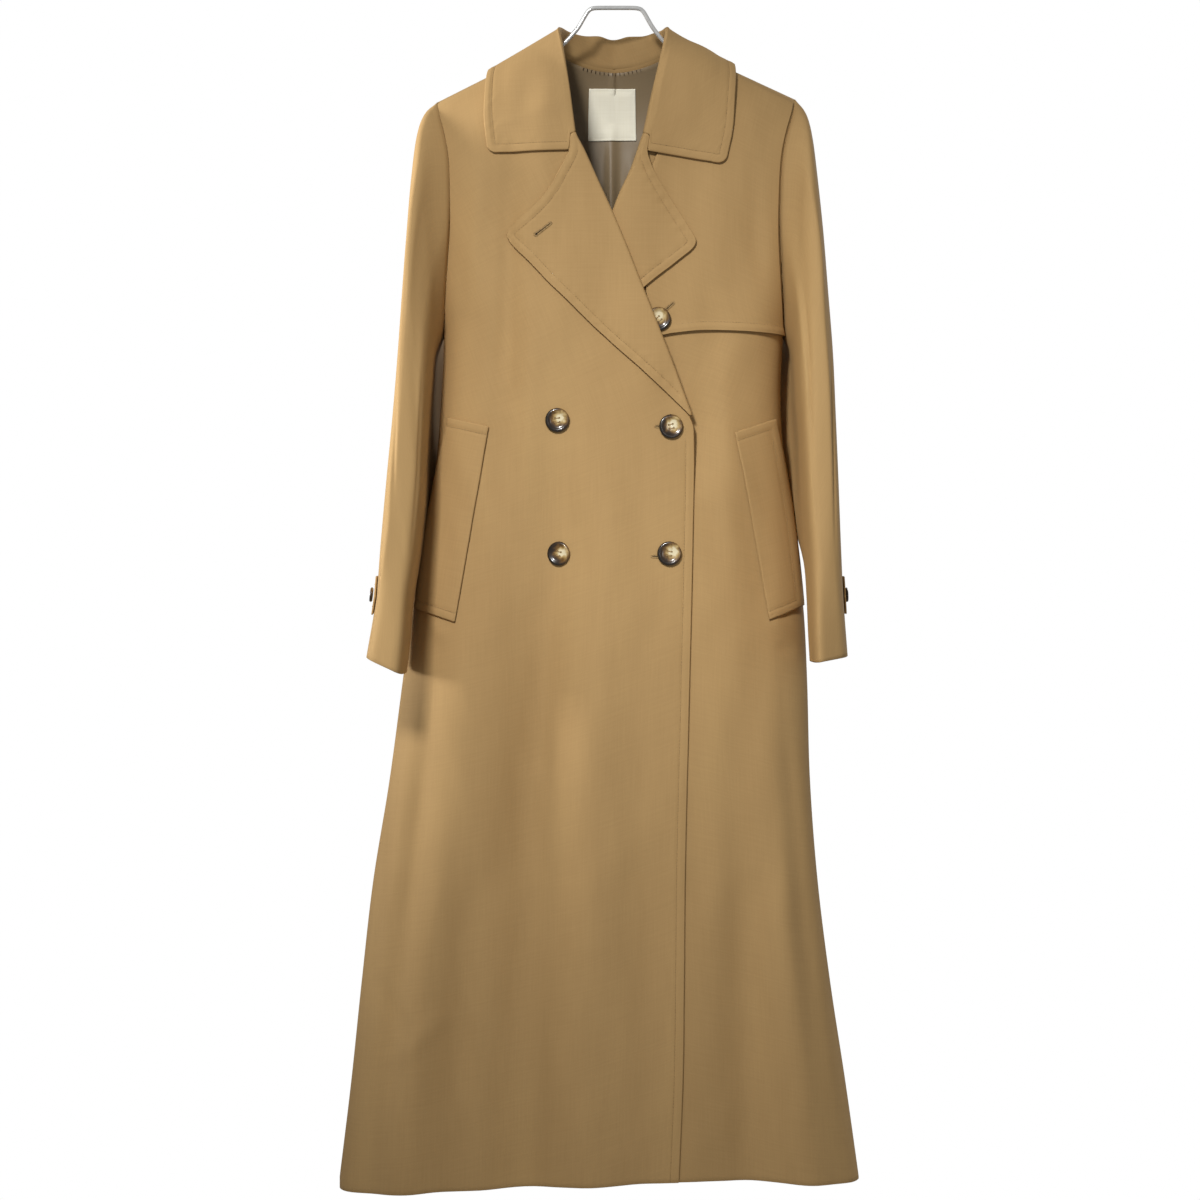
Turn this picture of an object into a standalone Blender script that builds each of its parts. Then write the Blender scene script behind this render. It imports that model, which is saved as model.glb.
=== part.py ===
"""A long double-breasted trench coat that hangs on a bent wire hanger.

Every piece that a maker cuts and sews is one object, a closed wall of cloth, and the coat is the empty
hollow between them. Sizes are in millimetres. X runs to the right as the coat is looked at, Y away
from the eye and Z up, with the origin at the middle of the hanger's top bar. Right and left in the
names are the wearer's, so the right front is the one at -X, and it lies on top.
"""

import math

import bmesh
import bpy
from mathutils import Vector

MM = 0.001
FRONT, BACK = -1, 1

# ---- driving sizes ------------------------------------------------------------------------------
CLOTH = 2.0  # coat cloth with its facing
LINING, LINING_GAP = 1.0, 1.3
SEAM = 0.3  # between two pieces that are sewn together
REST, FLAP_REST = 1.0, 1.5  # between a panel and what lies on it
TURN_OVER = 4.0  # how high a lapel's or the collar's shown side lies over the coat

NECK_X, NECK_Z = 64.0, -38.0  # where the shoulder seam meets the neck
SHOULDER_FALL = {-1: 0.503, 1: 0.465}  # fall per millimetre outwards, at -X and at +X
NECK_FALL = 0.484  # the same for the line that runs on over the neck hole
SHOULDER_ROUND = 110.0  # height in which the cloth turns over the shoulder
SHOULDER_END_X = {-1: 185.6, 1: 189.0}  # the tops of the armholes
UNDERARM_Z = -345.0
SQUARENESS = 2.6  # 2 would make the coat's level sections ellipses
SIDE_CLOSE = 1.00001  # keeps front and back together at the side seams
BREAK_Z = -440.0  # where the lapels end and the fronts' edges hang straight
HEM_Z = -1216.0
UNDERLAP_TOP, UNDERLAP_LOW = 11.0, 3.2  # how far the left front lies under the right one

BUTTON_WIDE, BUTTON_THICK = 25.0, 3.6
CUFF_BUTTON_WIDE, CUFF_BUTTON_THICK = 15.0, 3.0
BUTTON_HOLE_WIDE = 2.4

WIRE = 4.5  # the hanger's wire
BAR_Z = 0.0
BAR_ENDS = (-23.6, 25.7)

COAT_TAN = (0.38, 0.26, 0.13)
COAT_EDGE_TAN = (0.40, 0.28, 0.145)
LINING_TAUPE = (0.19, 0.155, 0.115)
LABEL_CREAM = (0.90, 0.85, 0.72)
HORN_BROWN = (0.11, 0.065, 0.03)
WIRE_WHITE = (0.80, 0.80, 0.79)


class Table:
    """Rows of sizes under named columns, read anywhere along the first one on a smooth curve."""

    def __init__(self, columns, *rows, smooth=True):
        self.columns = columns.split()
        self.rows = sorted(rows)
        self.smooth = smooth

    def read(self, column, at):
        place = self.columns.index(column)
        steps = [row[0] for row in self.rows]
        sizes = [row[place] for row in self.rows]
        at = min(max(at, steps[0]), steps[-1])
        low = max(index for index in range(len(steps) - 1) if steps[index] <= at)
        span = steps[low + 1] - steps[low]
        part = (at - steps[low]) / span
        if not self.smooth:
            return sizes[low] + (sizes[low + 1] - sizes[low]) * part

        def slope(index):
            before, after = max(index - 1, 0), min(index + 1, len(steps) - 1)
            return (sizes[after] - sizes[before]) / (steps[after] - steps[before]) * span

        turn = part * part * (3 - 2 * part)
        return (
            sizes[low] * (1 - turn)
            + sizes[low + 1] * turn
            + slope(low) * part * (1 - part) ** 2
            - slope(low + 1) * part * part * (1 - part)
        )


# Half widths at -X and at +X, and half depths to the front and the back, of the hanging coat.
BODY = Table(
    "z left right front back",
    (-30, 222, 226, 60, 58),
    (-99, 222, 226, 62, 60),
    (-165, 206, 208, 66, 62),
    (-235, 195, 195, 69, 64),
    (-310, 184, 183, 71, 65),
    (-345, 179, 177, 71, 65),
    (-417, 182, 174, 69, 63),
    (-496, 189, 180, 68, 63),
    (-550, 198, 188, 68, 64),
    (-629, 212, 198, 71, 67),
    (-706, 222, 202, 74, 71),
    (-811, 236, 205, 78, 75),
    (-916, 253, 213, 81, 79),
    (-1021, 265, 226, 84, 83),
    (-1126, 276, 242, 87, 86),
    (-1225, 288, 256, 90, 90),
)

# The hem hangs a little lower towards the side seams.
HEM = Table(
    "x z",
    (-290, -1236),
    (-190, -1227),
    (-109, -1223),
    (-40, -1219),
    (65, -1215),
    (140, -1216),
    (205, -1221),
    (258, -1226),
)

# The armholes, as a share of the body's half width.
ARMHOLE = Table(
    "z share",
    (-99, 0.836),
    (-112, 0.834),
    (-135, 0.829),
    (-165, 0.834),
    (-200, 0.852),
    (-235, 0.874),
    (-270, 0.911),
    (-310, 0.957),
    (-345, 1.0),
)

# The large soft folds: where each begins, its line at that height and at the hem, and its size there.
FOLDS = (
    # face, start z, x at the start, x at the hem, half width, height (a trough is below zero)
    (FRONT, -380, -95, -130, 36, -4.5),
    (FRONT, -600, -150, -215, 30, 5.0),
    (FRONT, -560, -25, -45, 40, 3.0),
    (FRONT, -620, 118, 140, 28, -4.5),
    (FRONT, -700, 158, 202, 24, 4.5),
    (BACK, -380, -110, -150, 40, 6.0),
    (BACK, -460, -35, -50, 36, -6.0),
    (BACK, -420, 45, 70, 38, 6.0),
    (BACK, -560, 125, 165, 34, -5.0),
)
FOLD_RUN = 420.0  # height in which a fold grows to its full size

# The lapels' roll lines, where the turned cloth reaches furthest into the neck opening.
ROLL_LINES = {
    -1: Table(
        "z x",
        (-128, -41.8),
        (-141, -40.0),
        (-160, -30.6),
        (-185, -19.3),
        (-219, -3.9),
        (-258, 12.5),
        (-300, 28.9),
        (-354, 50.4),
        (-394, 65.8),
        (-431, 79.5),
    ),
    1: Table(
        "z x",
        (-128, 32.0),
        (-141, 29.0),
        (-149, 26.0),
        (-177, 15.7),
        (-213, -0.3),
        (-258, -18.0),
        (-300, -34.5),
        (-354, -55.5),
        (-394, -71.0),
        (-431, -85.0),
    ),
}
COLLAR_END_Z, ROLL_END_Z = -141.0, -431.0

# The fronts' neck seams above the roll lines and their front edges below them.
NECK_EDGES = {
    -1: Table("z x", (-38, -64.0), (-56, -60.5), (-80, -55.0), (-110, -49.6), (-141, -44.9)),
    1: Table("z x", (-38, 64.0), (-56, 58.5), (-80, 50.5), (-110, 42.8), (-141, 35.6)),
}
FRONT_EDGES = {
    -1: Table(
        "z x",
        (-431, 75.8),
        (-446, 81.0),
        (-561, 79.8),
        (-718, 76.0),
        (-888, 71.8),
        (-1106, 69.0),
        (-1217, 64.7),
    ),
    1: Table("z x", (-431, -79.7), (-446, -85.0), (-640, -81.0), (-888, -77.0), (-1217, -70.0)),
}

# The lapels' outlines from the notch to the tip and down to the break, by the share of the roll line.
RIGHT_LAPEL = Table(
    "share x z",
    (0.0, -45.3, -144.0),
    (0.03, -45.8, -151.5),
    (0.062, -46.3, -160.4),
    (0.085, -50.5, -169.0),
    (0.115, -56.0, -179.0),
    (0.145, -64.6, -195.2),
    (0.18, -75.8, -210.6),
    (0.215, -90.0, -224.2),
    (0.245, -108.5, -240.6),
    (0.26, -111.8, -245.4),
    (0.285, -108.5, -251.2),
    (0.37, -90.0, -271.0),
    (0.47, -69.5, -293.6),
    (0.67, -20.3, -342.0),
    (0.85, 28.9, -386.0),
    (1.0, 70.5, -425.4),
    smooth=False,
)
LEFT_LAPEL = Table(
    "share x z",
    (0.0, 35.5, -144.3),
    (0.03, 34.4, -152.0),
    (0.062, 33.0, -160.2),
    (0.085, 36.4, -169.5),
    (0.115, 40.4, -179.0),
    (0.14, 47.6, -192.0),
    (0.175, 59.8, -212.4),
    (0.215, 73.0, -233.8),
    (0.25, 82.6, -249.4),
    (0.27, 83.4, -254.2),
    (0.3, 79.2, -260.6),
    (0.35, 66.9, -270.2),
    (0.44, 47.4, -285.6),
    (0.55, 28.9, -300.5),
    (0.78, -18.0, -354.0),
    (1.0, -66.0, -424.0),
    smooth=False,
)

# The collar by the way round the neck, from the middle of the back (0) over the shoulder seam (1) to
# the notch (2): the top of its roll, its outer edge and how far the fall stands off the coat.
COLLARS = {
    -1: Table(
        "way roll_x roll_y roll_z edge_x edge_y edge_z lift",
        (0.0, 0, 57.0, -21.0, 0, 66.0, -106.0, 0.5),
        (0.53, -31, 50.0, -20.0, -64, 63.0, -108.0, 1.0),
        (0.87, -51.5, 27.0, -18.5, -114, 40.0, -97.0, 3.0),
        (1.0, -58, 0.0, -19.0, -130, 0.0, -62.0, 4.0),
        (1.18, -54, -33.0, -43.0, -134, -36.0, -90.0, 3.0),
        (1.61, -46.4, -55.0, -92.0, -134, -50.0, -128.0, 1.0),
        (2.0, -40.4, -64.0, -140.4, -130, -60.0, -161.0, 0.0),
    ),
    1: Table(
        "way roll_x roll_y roll_z edge_x edge_y edge_z lift",
        (0.0, 0, 57.0, -21.0, 0, 66.0, -106.0, 0.5),
        (0.53, 31, 50.0, -20.0, 62, 63.0, -108.0, 1.0),
        (0.87, 51.5, 27.0, -18.5, 108, 40.0, -97.0, 3.0),
        (1.0, 54.5, 0.0, -19.0, 122, 0.0, -60.0, 5.0),
        (1.18, 50.5, -33.0, -43.0, 122.5, -38.0, -94.0, 4.5),
        (1.61, 39, -55.0, -94.0, 120, -50.0, -135.0, 1.0),
        (2.0, 29.6, -66.0, -140.2, 114, -60.0, -172.0, 0.0),
    ),
}
# The corners of the collar's front ends: at the roll and at the notch.
COLLAR_ENDS = {-1: ((-46.0, -142.6), (-46.9, -159.2)), 1: ((36.4, -142.9), (33.9, -159.0))}

# The hanging sleeves by rings, each from a point on its outer line to one on its inner line, with
# its middle and half depth along Y and how much it keeps the armhole's own outline.
SLEEVES = {
    -1: Table(
        "ring out_x out_z in_x in_z middle half keep",
        (0, 185.6, -99, 179.0, -345, 0, 46, 1.0),
        (1, 198.5, -113, 187.0, -366, -3, 56, 0.6),
        (2, 206.0, -138, 189.5, -392, -6, 66, 0.3),
        (3, 211.0, -185, 191.3, -418, -10, 73, 0.1),
        (4, 214.8, -240, 193.0, -448, -16, 75, 0),
        (5, 218.9, -300, 194.6, -482, -23, 74, 0),
        (6, 223.0, -365, 195.8, -517, -32, 72, 0),
        (7, 227.7, -430, 198.8, -552, -43, 68, 0),
        (8, 233.1, -495, 202.5, -587, -56, 64, 0),
        (9, 238.0, -560, 207.5, -623, -69, 61, 0),
        (10, 242.5, -620, 210.0, -660, -78, 59, 0),
        (11, 252.0, -679, 213.5, -696, -84, 57, 0),
    ),
    1: Table(
        "ring out_x out_z in_x in_z middle half keep",
        (0, 189.0, -96, 177.0, -345, 0, 46, 1.0),
        (1, 200.0, -112, 184.5, -366, -3, 56, 0.6),
        (2, 206.0, -138, 186.5, -392, -6, 66, 0.3),
        (3, 211.0, -185, 187.8, -418, -10, 73, 0.1),
        (4, 215.9, -240, 190.0, -448, -16, 75, 0),
        (5, 220.3, -300, 191.5, -482, -23, 74, 0),
        (6, 224.8, -365, 193.1, -517, -32, 72, 0),
        (7, 227.0, -430, 195.0, -552, -43, 68, 0),
        (8, 228.8, -495, 197.0, -587, -56, 64, 0),
        (9, 230.3, -560, 198.0, -623, -69, 61, 0),
        (10, 232.5, -620, 198.5, -655, -78, 59, 0),
        (11, 236.5, -678, 199.5, -684, -84, 57, 0),
    ),
}
LAST_RING = 11
SLEEVE_ROUNDNESS = 0.86  # 1 would make the rings ellipses

# The pocket welts' corners on the fronts: seam edge and free edge, top and bottom.
RIGHT_WELT = {"seam": ((-130.0, -443.0), (-164.5, -644.0)), "free": ((-171.0, -433.0), (-206.0, -630.0))}
LEFT_WELT = {"seam": ((125.8, -449.0), (159.2, -642.0)), "free": ((166.0, -434.0), (195.0, -627.0))}
WELT_BOW = 3.0  # how far a welt's free edge bends outwards

# The storm flap's edges on the left front.
FLAP_EDGE = Table(
    "z x",
    (-44, 82.0),
    (-90, 66.0),
    (-141, 52.0),
    (-190, 34.0),
    (-250, 30.0),
    (-310, 38.0),
    (-350, 48.4),
)
FLAP_LOWER_EDGE = Table("x z", (48, -349.5), (60, -347.0), (98, -343.6), (146, -344.6), (178, -346.0))

LABEL = {"left": -27.5, "right": 23.6, "top": -75.0, "bottom": -130.5}
LINING_HALF_WIDTH, LINING_BOTTOM_Z = 150.0, -385.0
PLEAT_X, PLEAT_WIDE, PLEAT_HIGH, PLEAT_TOP_Z = -3.0, 9.0, 4.0, -150.0

FRONT_BUTTONS = {
    "button_upper_right": (-59.0, -437.0),
    "button_lower_right": (-57.0, -574.0),
    "button_upper_left": (57.5, -443.5),
    "button_lower_left": (56.0, -574.0),
}
FLAP_BUTTON = (45.5, -333.0)

# The cuff tabs on the sleeves: from the back seam round the outer side to the point in front,
# as an angle round the ring from its outer line, and as places along the rings.
CUFF_TABS = {"right": {"from": -1.15, "to": 0.55}, "left": {"from": -1.15, "to": 0.3}}
TAB_TOP, TAB_BOTTOM = 9.62, 10.26
TAB_POINT = 0.18  # how much further round its point reaches


# ---- the coat's surface -------------------------------------------------------------------------
def ease(part):
    part = min(max(part, 0.0), 1.0)
    return part * part * (3 - 2 * part)


def signed_power(base, power):
    return math.copysign(abs(base) ** power, base)


def shoulder_z(x):
    """Height of the shoulder line, which runs on over the neck hole."""
    fall = NECK_FALL if abs(x) < NECK_X else SHOULDER_FALL[-1 if x < 0 else 1]
    return NECK_Z - (abs(x) - NECK_X) * fall


def half_width(x, z):
    return BODY.read("left" if x < 0 else "right", z)


def fullness(x, z):
    """1 in the middle of the coat and 0 at its sides: the square of the depth's share."""
    share = abs(x) / half_width(x, z) * SIDE_CLOSE
    return signed_power(1 - share**SQUARENESS, 2 / SQUARENESS)


def shoulder_rise(x, z):
    """0 on the shoulder line and 1 from SHOULDER_ROUND below it."""
    drop = (shoulder_z(x) - z) / SHOULDER_ROUND
    return 1.0 if drop > 1 else drop * (2 - drop)


def fold(x, z, face):
    """How far the soft folds move the cloth outwards."""
    moved = 0.0
    for side, start, top_x, hem_x, width, height in FOLDS:
        if side == face and z < start:
            line = top_x + (hem_x - top_x) * (start - z) / (start - HEM_Z)
            grown = ease((start - z) / FOLD_RUN)
            moved += height * grown * math.exp(-(((x - line) / width) ** 2))
    return moved * min(1.0, max(0.0, 2 * fullness(x, z)))


def depth(x, z, face):
    """Distance of the coat's outer side from the plane through its side and shoulder seams."""
    filled = max(0.0, shoulder_rise(x, z) * fullness(x, z))
    return BODY.read("front" if face == FRONT else "back", z) * math.sqrt(filled) + fold(x, z, face)


def hollow(x, y, z):
    """Below zero inside the coat and above zero outside it."""
    face = FRONT if y < 0 else BACK
    deep = BODY.read("front" if face == FRONT else "back", z)
    flat = (abs(y) - fold(x, z, face)) / deep
    return flat * abs(flat) - shoulder_rise(x, z) * fullness(x, z)


def slope_of(x, y, z):
    step = 0.05
    return Vector(
        (
            hollow(x + step, y, z) - hollow(x - step, y, z),
            hollow(x, y + step, z) - hollow(x, y - step, z),
            hollow(x, y, z + step) - hollow(x, y, z - step),
        )
    ) / (2 * step)


def outwards(x, z, face):
    """Unit vector that points out of the cloth. At the side and shoulder seams it has no Y."""
    deep = depth(x, z, face)
    slope = slope_of(x, face * deep, z)
    if deep < 0.5:
        slope.y = 0
    return slope.normalized()


def on_coat(x, z, face, out=0.0):
    """A point `out` millimetres outside the coat's surface. Half a seam parts front and back."""
    place = Vector((x, face * (depth(x, z, face) + SEAM / 2), z))
    return place + outwards(x, z, face) * out


def underlap(x, z):
    """How far the left front lies under the right one and its lapel."""
    low = ease((-432 - z) / 90)
    deep = UNDERLAP_TOP * (1 - low) + UNDERLAP_LOW * low
    return deep * ease((-55 - z) / 130) * ease((168 - x) / 80)


def on_right_front(x, z, out=0.0):
    return on_coat(x, z, FRONT, out)


def on_left_front(x, z, out=0.0):
    return on_coat(x, z, FRONT, out - underlap(x, z))


def on_front(side, x, z, out=0.0):
    return on_right_front(x, z, out) if side < 0 else on_left_front(x, z, out)


def lapel_lie(side):
    """The storm flap lies between the left front and its lapel."""
    return TURN_OVER if side < 0 else TURN_OVER + REST + CLOTH


def front_edge_x(side, z):
    """The panel's front edge: the neck seam, a line just inside the lapel's roll, the edge below."""
    if z >= COLLAR_END_Z:
        return NECK_EDGES[side].read("x", z)
    if z <= ROLL_END_Z:
        return FRONT_EDGES[side].read("x", z)
    at = z
    for _ in range(3):
        edge, *_ = turned_edge(side, at)
        at += z - edge.y
    return edge.x


def turned_edge(side, z):
    """The section of the turned cloth where the roll line is at height z: the panel's edge, the
    ways into the opening and out of the cloth, the section's centre and its radius."""
    roll = ROLL_LINES[side]
    lie = lapel_lie(side)
    radius = (lie + CLOTH) / 2
    line = Vector((roll.read("x", z - 2) - roll.read("x", z + 2), -4)).normalized()
    towards = Vector((line.y, -line.x)) * side
    place = Vector((roll.read("x", z), z))
    edge = place - towards * (radius + 0.4)
    seat = on_front(side, *edge)
    normal = (on_front(side, *edge, 1) - seat).normalized()
    ahead = (on_front(side, *place) - seat).normalized()
    return edge, ahead, normal, seat + ahead * 0.4 + normal * (lie - CLOTH) / 2, radius


def shoulder_end_z(side):
    return shoulder_z(side * SHOULDER_END_X[side])


def side_x(z, side):
    """The panels' outer edge: the armhole, and the side seam below it."""
    width = BODY.read("left" if side < 0 else "right", z)
    share = ARMHOLE.read("share", z) if z > UNDERARM_Z else 1.0
    return side * width * share


# ---- making closed walls ------------------------------------------------------------------------
def material(name, colour, roughness, metallic=0.0):
    made = bpy.data.materials.new(name)
    made.use_nodes = True
    surface = made.node_tree.nodes["Principled BSDF"]
    surface.inputs["Base Color"].default_value = (*colour, 1)
    surface.inputs["Roughness"].default_value = roughness
    surface.inputs["Metallic"].default_value = metallic
    made.diffuse_color = (*colour, 1)
    return made


def wall(name, shown, hidden, look, ring=False):
    """A closed wall between two grids of points of the same size; a ring's rows close on themselves."""
    shape = bmesh.new()
    sides = [[[shape.verts.new(point * MM) for point in row] for row in grid] for grid in (shown, hidden)]
    rows, columns = len(shown), len(shown[0])
    across = range(columns if ring else columns - 1)

    def face(*corners):
        shape.faces.new(corners)

    for row in range(rows - 1):
        for column in across:
            after = (column + 1) % columns
            for grid in sides:
                face(grid[row][column], grid[row][after], grid[row + 1][after], grid[row + 1][column])
    for row in (0, rows - 1):
        for column in across:
            after = (column + 1) % columns
            face(sides[0][row][column], sides[0][row][after], sides[1][row][after], sides[1][row][column])
    if not ring:
        for column in (0, columns - 1):
            for row in range(rows - 1):
                lower = row + 1
                face(
                    sides[0][row][column],
                    sides[0][lower][column],
                    sides[1][lower][column],
                    sides[1][row][column],
                )
    bmesh.ops.recalc_face_normals(shape, faces=shape.faces)
    mesh = bpy.data.meshes.new(name)
    shape.to_mesh(mesh)
    shape.free()
    mesh.materials.append(look)
    mesh.shade_smooth()
    mesh.set_sharp_from_angle(angle=math.radians(50))
    made = bpy.data.objects.new(name, mesh)
    coat.objects.link(made)
    return made


def behind(grid, thickness, ring=False, flip=False):
    """The grid's points moved back along its own normals."""
    rows, columns = len(grid), len(grid[0])
    moved = []
    for row in range(rows):
        line = []
        for column in range(columns):
            if ring:
                left, right = grid[row][column - 1], grid[row][(column + 1) % columns]
            else:
                left, right = grid[row][max(column - 1, 0)], grid[row][min(column + 1, columns - 1)]
            above, below = grid[max(row - 1, 0)][column], grid[min(row + 1, rows - 1)][column]
            normal = (right - left).cross(below - above).normalized()
            line.append(grid[row][column] + normal * (thickness if flip else -thickness))
        moved.append(line)
    return moved


def between(start, end, part):
    return start + (end - start) * part


# ---- fronts and back ----------------------------------------------------------------------------
# Rows of the panels from the shoulder to the break: heights at the armhole, from its top (0) to
# the underarm (1), and at the front edge.
ARMHOLE_ROWS = (
    (0, -38),
    (0.016, -43),
    (0.034, -49.5),
    (0.06, -58),
    (0.126, -82),
    (0.228, -112),
    (0.337, -141),
    (0.46, -178),
    (0.606, -222),
    (0.776, -275),
    (0.9, -308),
    (1, -340),
)
WAIST_ROWS = ((-390, -388), (-440, -440))
LOWER_ROWS = (0.065, 0.14, 0.23, 0.33, 0.44, 0.56, 0.69, 0.84, 1.0)  # shares of the way to the hem
FRONT_COLUMNS = (0, 0.006, 0.026, 0.065, 0.12, 0.19, 0.28, 0.38, 0.49, 0.6, 0.72, 0.85, 1)
SHOULDER_COLUMNS = (0, 0.012, 0.05, 0.12, 0.22, 0.35, 0.52, 0.74)  # from the armhole to the neck
NECK_COLUMNS = (0, 0.05, 0.1, 0.18, 0.35, 0.58, 0.8)  # from the shoulder seam to the middle


def upper_rows(side):
    """Heights at the side and at the front edge of each row down to the break."""
    top = shoulder_end_z(side)
    return [(between(top, UNDERARM_Z, part), edge) for part, edge in ARMHOLE_ROWS] + list(WAIST_ROWS)


def hem_row_z(x, part):
    """Height at x of the row that is a share of the way from the break to the hem."""
    return between(BREAK_Z, HEM.read("z", x), part)


def side_end(part, side):
    """X of such a row's end at the side seam."""
    x = side_x(BREAK_Z, side)
    for _ in range(6):
        x = side_x(hem_row_z(x, part), side)
    return x


def front_grid(side, out):
    grid = []
    for side_z, edge_z in upper_rows(side):
        left, right = side_x(side_z, side), front_edge_x(side, edge_z)
        line = []
        for share in FRONT_COLUMNS:
            line.append(on_front(side, between(left, right, share), between(side_z, edge_z, share), out))
        grid.append(line)
    for part in LOWER_ROWS:
        left, right = side_end(part, side), front_edge_x(side, between(BREAK_Z, HEM_Z, part))
        places = [between(left, right, share) for share in FRONT_COLUMNS]
        grid.append([on_front(side, x, hem_row_z(x, part), out) for x in places])
    return grid


def make_fronts():
    for name, side in (("front_right", -1), ("front_left", 1)):
        wall(name, front_grid(side, 0), front_grid(side, -CLOTH), cloth)


def back_neck_z(x):
    """The back of the neck hole, from the shoulder seams down to its middle."""
    return NECK_Z - 17 * (1 - (x / NECK_X) ** 2)


def back_columns():
    """The back's columns by their x at the shoulder seams and the neck."""
    halves = []
    for side in (-1, 1):
        seam = [side * between(SHOULDER_END_X[side], NECK_X, share) for share in SHOULDER_COLUMNS]
        neck = [side * between(NECK_X, 0, share) for share in NECK_COLUMNS]
        halves.append(seam + neck)
    return halves[0] + [0.0] + list(reversed(halves[1]))


def back_grid(out):
    tops = back_columns()
    shares = [(x - tops[0]) / (tops[-1] - tops[0]) for x in tops]
    grid = []
    for (left_z, _), (right_z, _) in zip(upper_rows(-1), upper_rows(1)):
        left, right = side_x(left_z, -1), side_x(right_z, 1)
        line = []
        for top, share in zip(tops, shares):
            top_z = back_neck_z(top) if abs(top) < NECK_X else shoulder_z(top)
            side_z, end_z = (left_z, shoulder_end_z(-1)) if top < 0 else (right_z, shoulder_end_z(1))
            part = (side_z - end_z) / (BREAK_Z - end_z)
            line.append(on_coat(between(left, right, share), between(top_z, BREAK_Z, part), BACK, out))
        grid.append(line)
    for part in LOWER_ROWS:
        left, right = side_end(part, -1), side_end(part, 1)
        places = [between(left, right, share) for share in shares]
        grid.append([on_coat(x, hem_row_z(x, part), BACK, out) for x in places])
    return grid


def make_back():
    wall("back", back_grid(0), back_grid(-CLOTH), cloth)


# ---- sleeves ------------------------------------------------------------------------------------
def armhole_point(angle, side):
    """A point of the armhole's seam: angle 0 at the shoulder, a quarter turn in front."""
    top = shoulder_end_z(side)
    z = (top + UNDERARM_Z) / 2 + (top - UNDERARM_Z) / 2 * math.cos(angle)
    face = FRONT if math.sin(angle) >= 0 else BACK
    x = side_x(max(z, UNDERARM_Z + 0.001), side)
    return on_coat(x, z, face), outwards(x, z, face)


def ring_point(ring, angle, side):
    """A point of the sleeve's plain rings."""
    sizes = SLEEVES[side]
    outer = Vector((side * sizes.read("out_x", ring), 0, sizes.read("out_z", ring)))
    inner = Vector((side * sizes.read("in_x", ring), 0, sizes.read("in_z", ring)))
    along = signed_power(math.cos(angle), SLEEVE_ROUNDNESS)
    ahead = signed_power(math.sin(angle), SLEEVE_ROUNDNESS)
    place = (outer + inner) / 2 + (outer - inner) / 2 * along
    place.y = sizes.read("middle", ring) - sizes.read("half", ring) * ahead
    return place


def on_sleeve(ring, angle, side, out=0.0):
    """A point on the sleeve, `out` millimetres outside its cloth."""

    def plain(ring, angle):
        keep = max(0.0, SLEEVES[side].read("keep", ring))
        seam, _ = armhole_point(angle, side)
        return ring_point(ring, angle, side) + (seam - ring_point(0, angle, side)) * keep

    place = plain(ring, angle)
    if not out:
        return place
    step = 0.02
    around = plain(ring, angle + step) - plain(ring, angle - step)
    down = plain(min(ring + step, LAST_RING), angle) - plain(max(ring - step, 0), angle)
    return place + around.cross(down).normalized() * out * side


def into_armhole(angle, side):
    """The way from the panel's edge at the armhole into the hole, along the panel."""
    step = 0.01
    ahead, _ = armhole_point(angle + step, side)
    before, _ = armhole_point(angle - step, side)
    _, normal = armhole_point(angle, side)
    return (ahead - before).cross(normal).normalized() * -side


def make_sleeves():
    """Each sleeve has a column at every row of the panels, so that both have the same seam."""
    half_turn = [math.acos(1 - 2 * part) for part, _ in ARMHOLE_ROWS]
    angles = half_turn + [math.tau - angle for angle in reversed(half_turn[1:-1])]
    for name, side in (("sleeve_right", -1), ("sleeve_left", 1)):
        shown, hidden = [], []
        for ring in range(LAST_RING + 1):
            shown.append([on_sleeve(ring, angle, side) for angle in angles])
            hidden.append([on_sleeve(ring, angle, side, -CLOTH) for angle in angles])
        for turn, angle in enumerate(angles):
            away = into_armhole(angle, side)
            normal = (shown[0][turn] - hidden[0][turn]).normalized()
            normal = (normal - away * max(0.0, normal.dot(away))).normalized()
            shown[0][turn] = shown[0][turn] + away * SEAM
            hidden[0][turn] = shown[0][turn] - normal * CLOTH
        wall(name, shown, hidden, cloth, ring=True)


# ---- lapels -------------------------------------------------------------------------------------
CURL = (-90, -45, 0, 45, 90)  # the turned cloth's section, in degrees
FLAT = (0.12, 0.3, 0.52, 0.76, 1.0)  # shares of the way from the roll to the outline


def make_lapel(name, side, outline, top_z):
    """A lapel: the cloth turns round the roll line and lies over its front."""
    lie = lapel_lie(side)
    shown, hidden = [], []
    for share, *end in outline.rows:
        edge, ahead, normal, centre, radius = turned_edge(side, between(top_z, ROLL_END_Z, share))
        outer, inner = [], []
        for degrees in CURL:
            turn = math.radians(degrees)
            towards = ahead * math.cos(turn) + normal * math.sin(turn)
            outer.append(centre + towards * radius)
            inner.append(centre + towards * (radius - CLOTH))
        for part in FLAT:
            place = edge.lerp(Vector(end), part)
            outer.append(on_front(side, *place, lie))
            inner.append(on_front(side, *place, lie - CLOTH))
        shown.append(outer)
        hidden.append(inner)
    wall(name, shown, hidden, edge_cloth)


def make_lapels():
    make_lapel("lapel_right", -1, RIGHT_LAPEL, -142.2)
    make_lapel("lapel_left", 1, LEFT_LAPEL, -142.2)


# ---- collar -------------------------------------------------------------------------------------
KNEE = 0.16  # where the front ends' outline turns from the notch into the lower edge
FALL = (0.07, KNEE, 0.36, 0.56, 0.78, 1.0)  # shares of the way from the roll to the edge


def clear_of_coat(place, gap):
    """The place, moved outwards until it is `gap` outside the coat."""
    for _ in range(4):
        slope = slope_of(*place)
        near = hollow(*place) / slope.length
        if near < gap:
            place = place + slope.normalized() * (gap - near)
    return place


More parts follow.
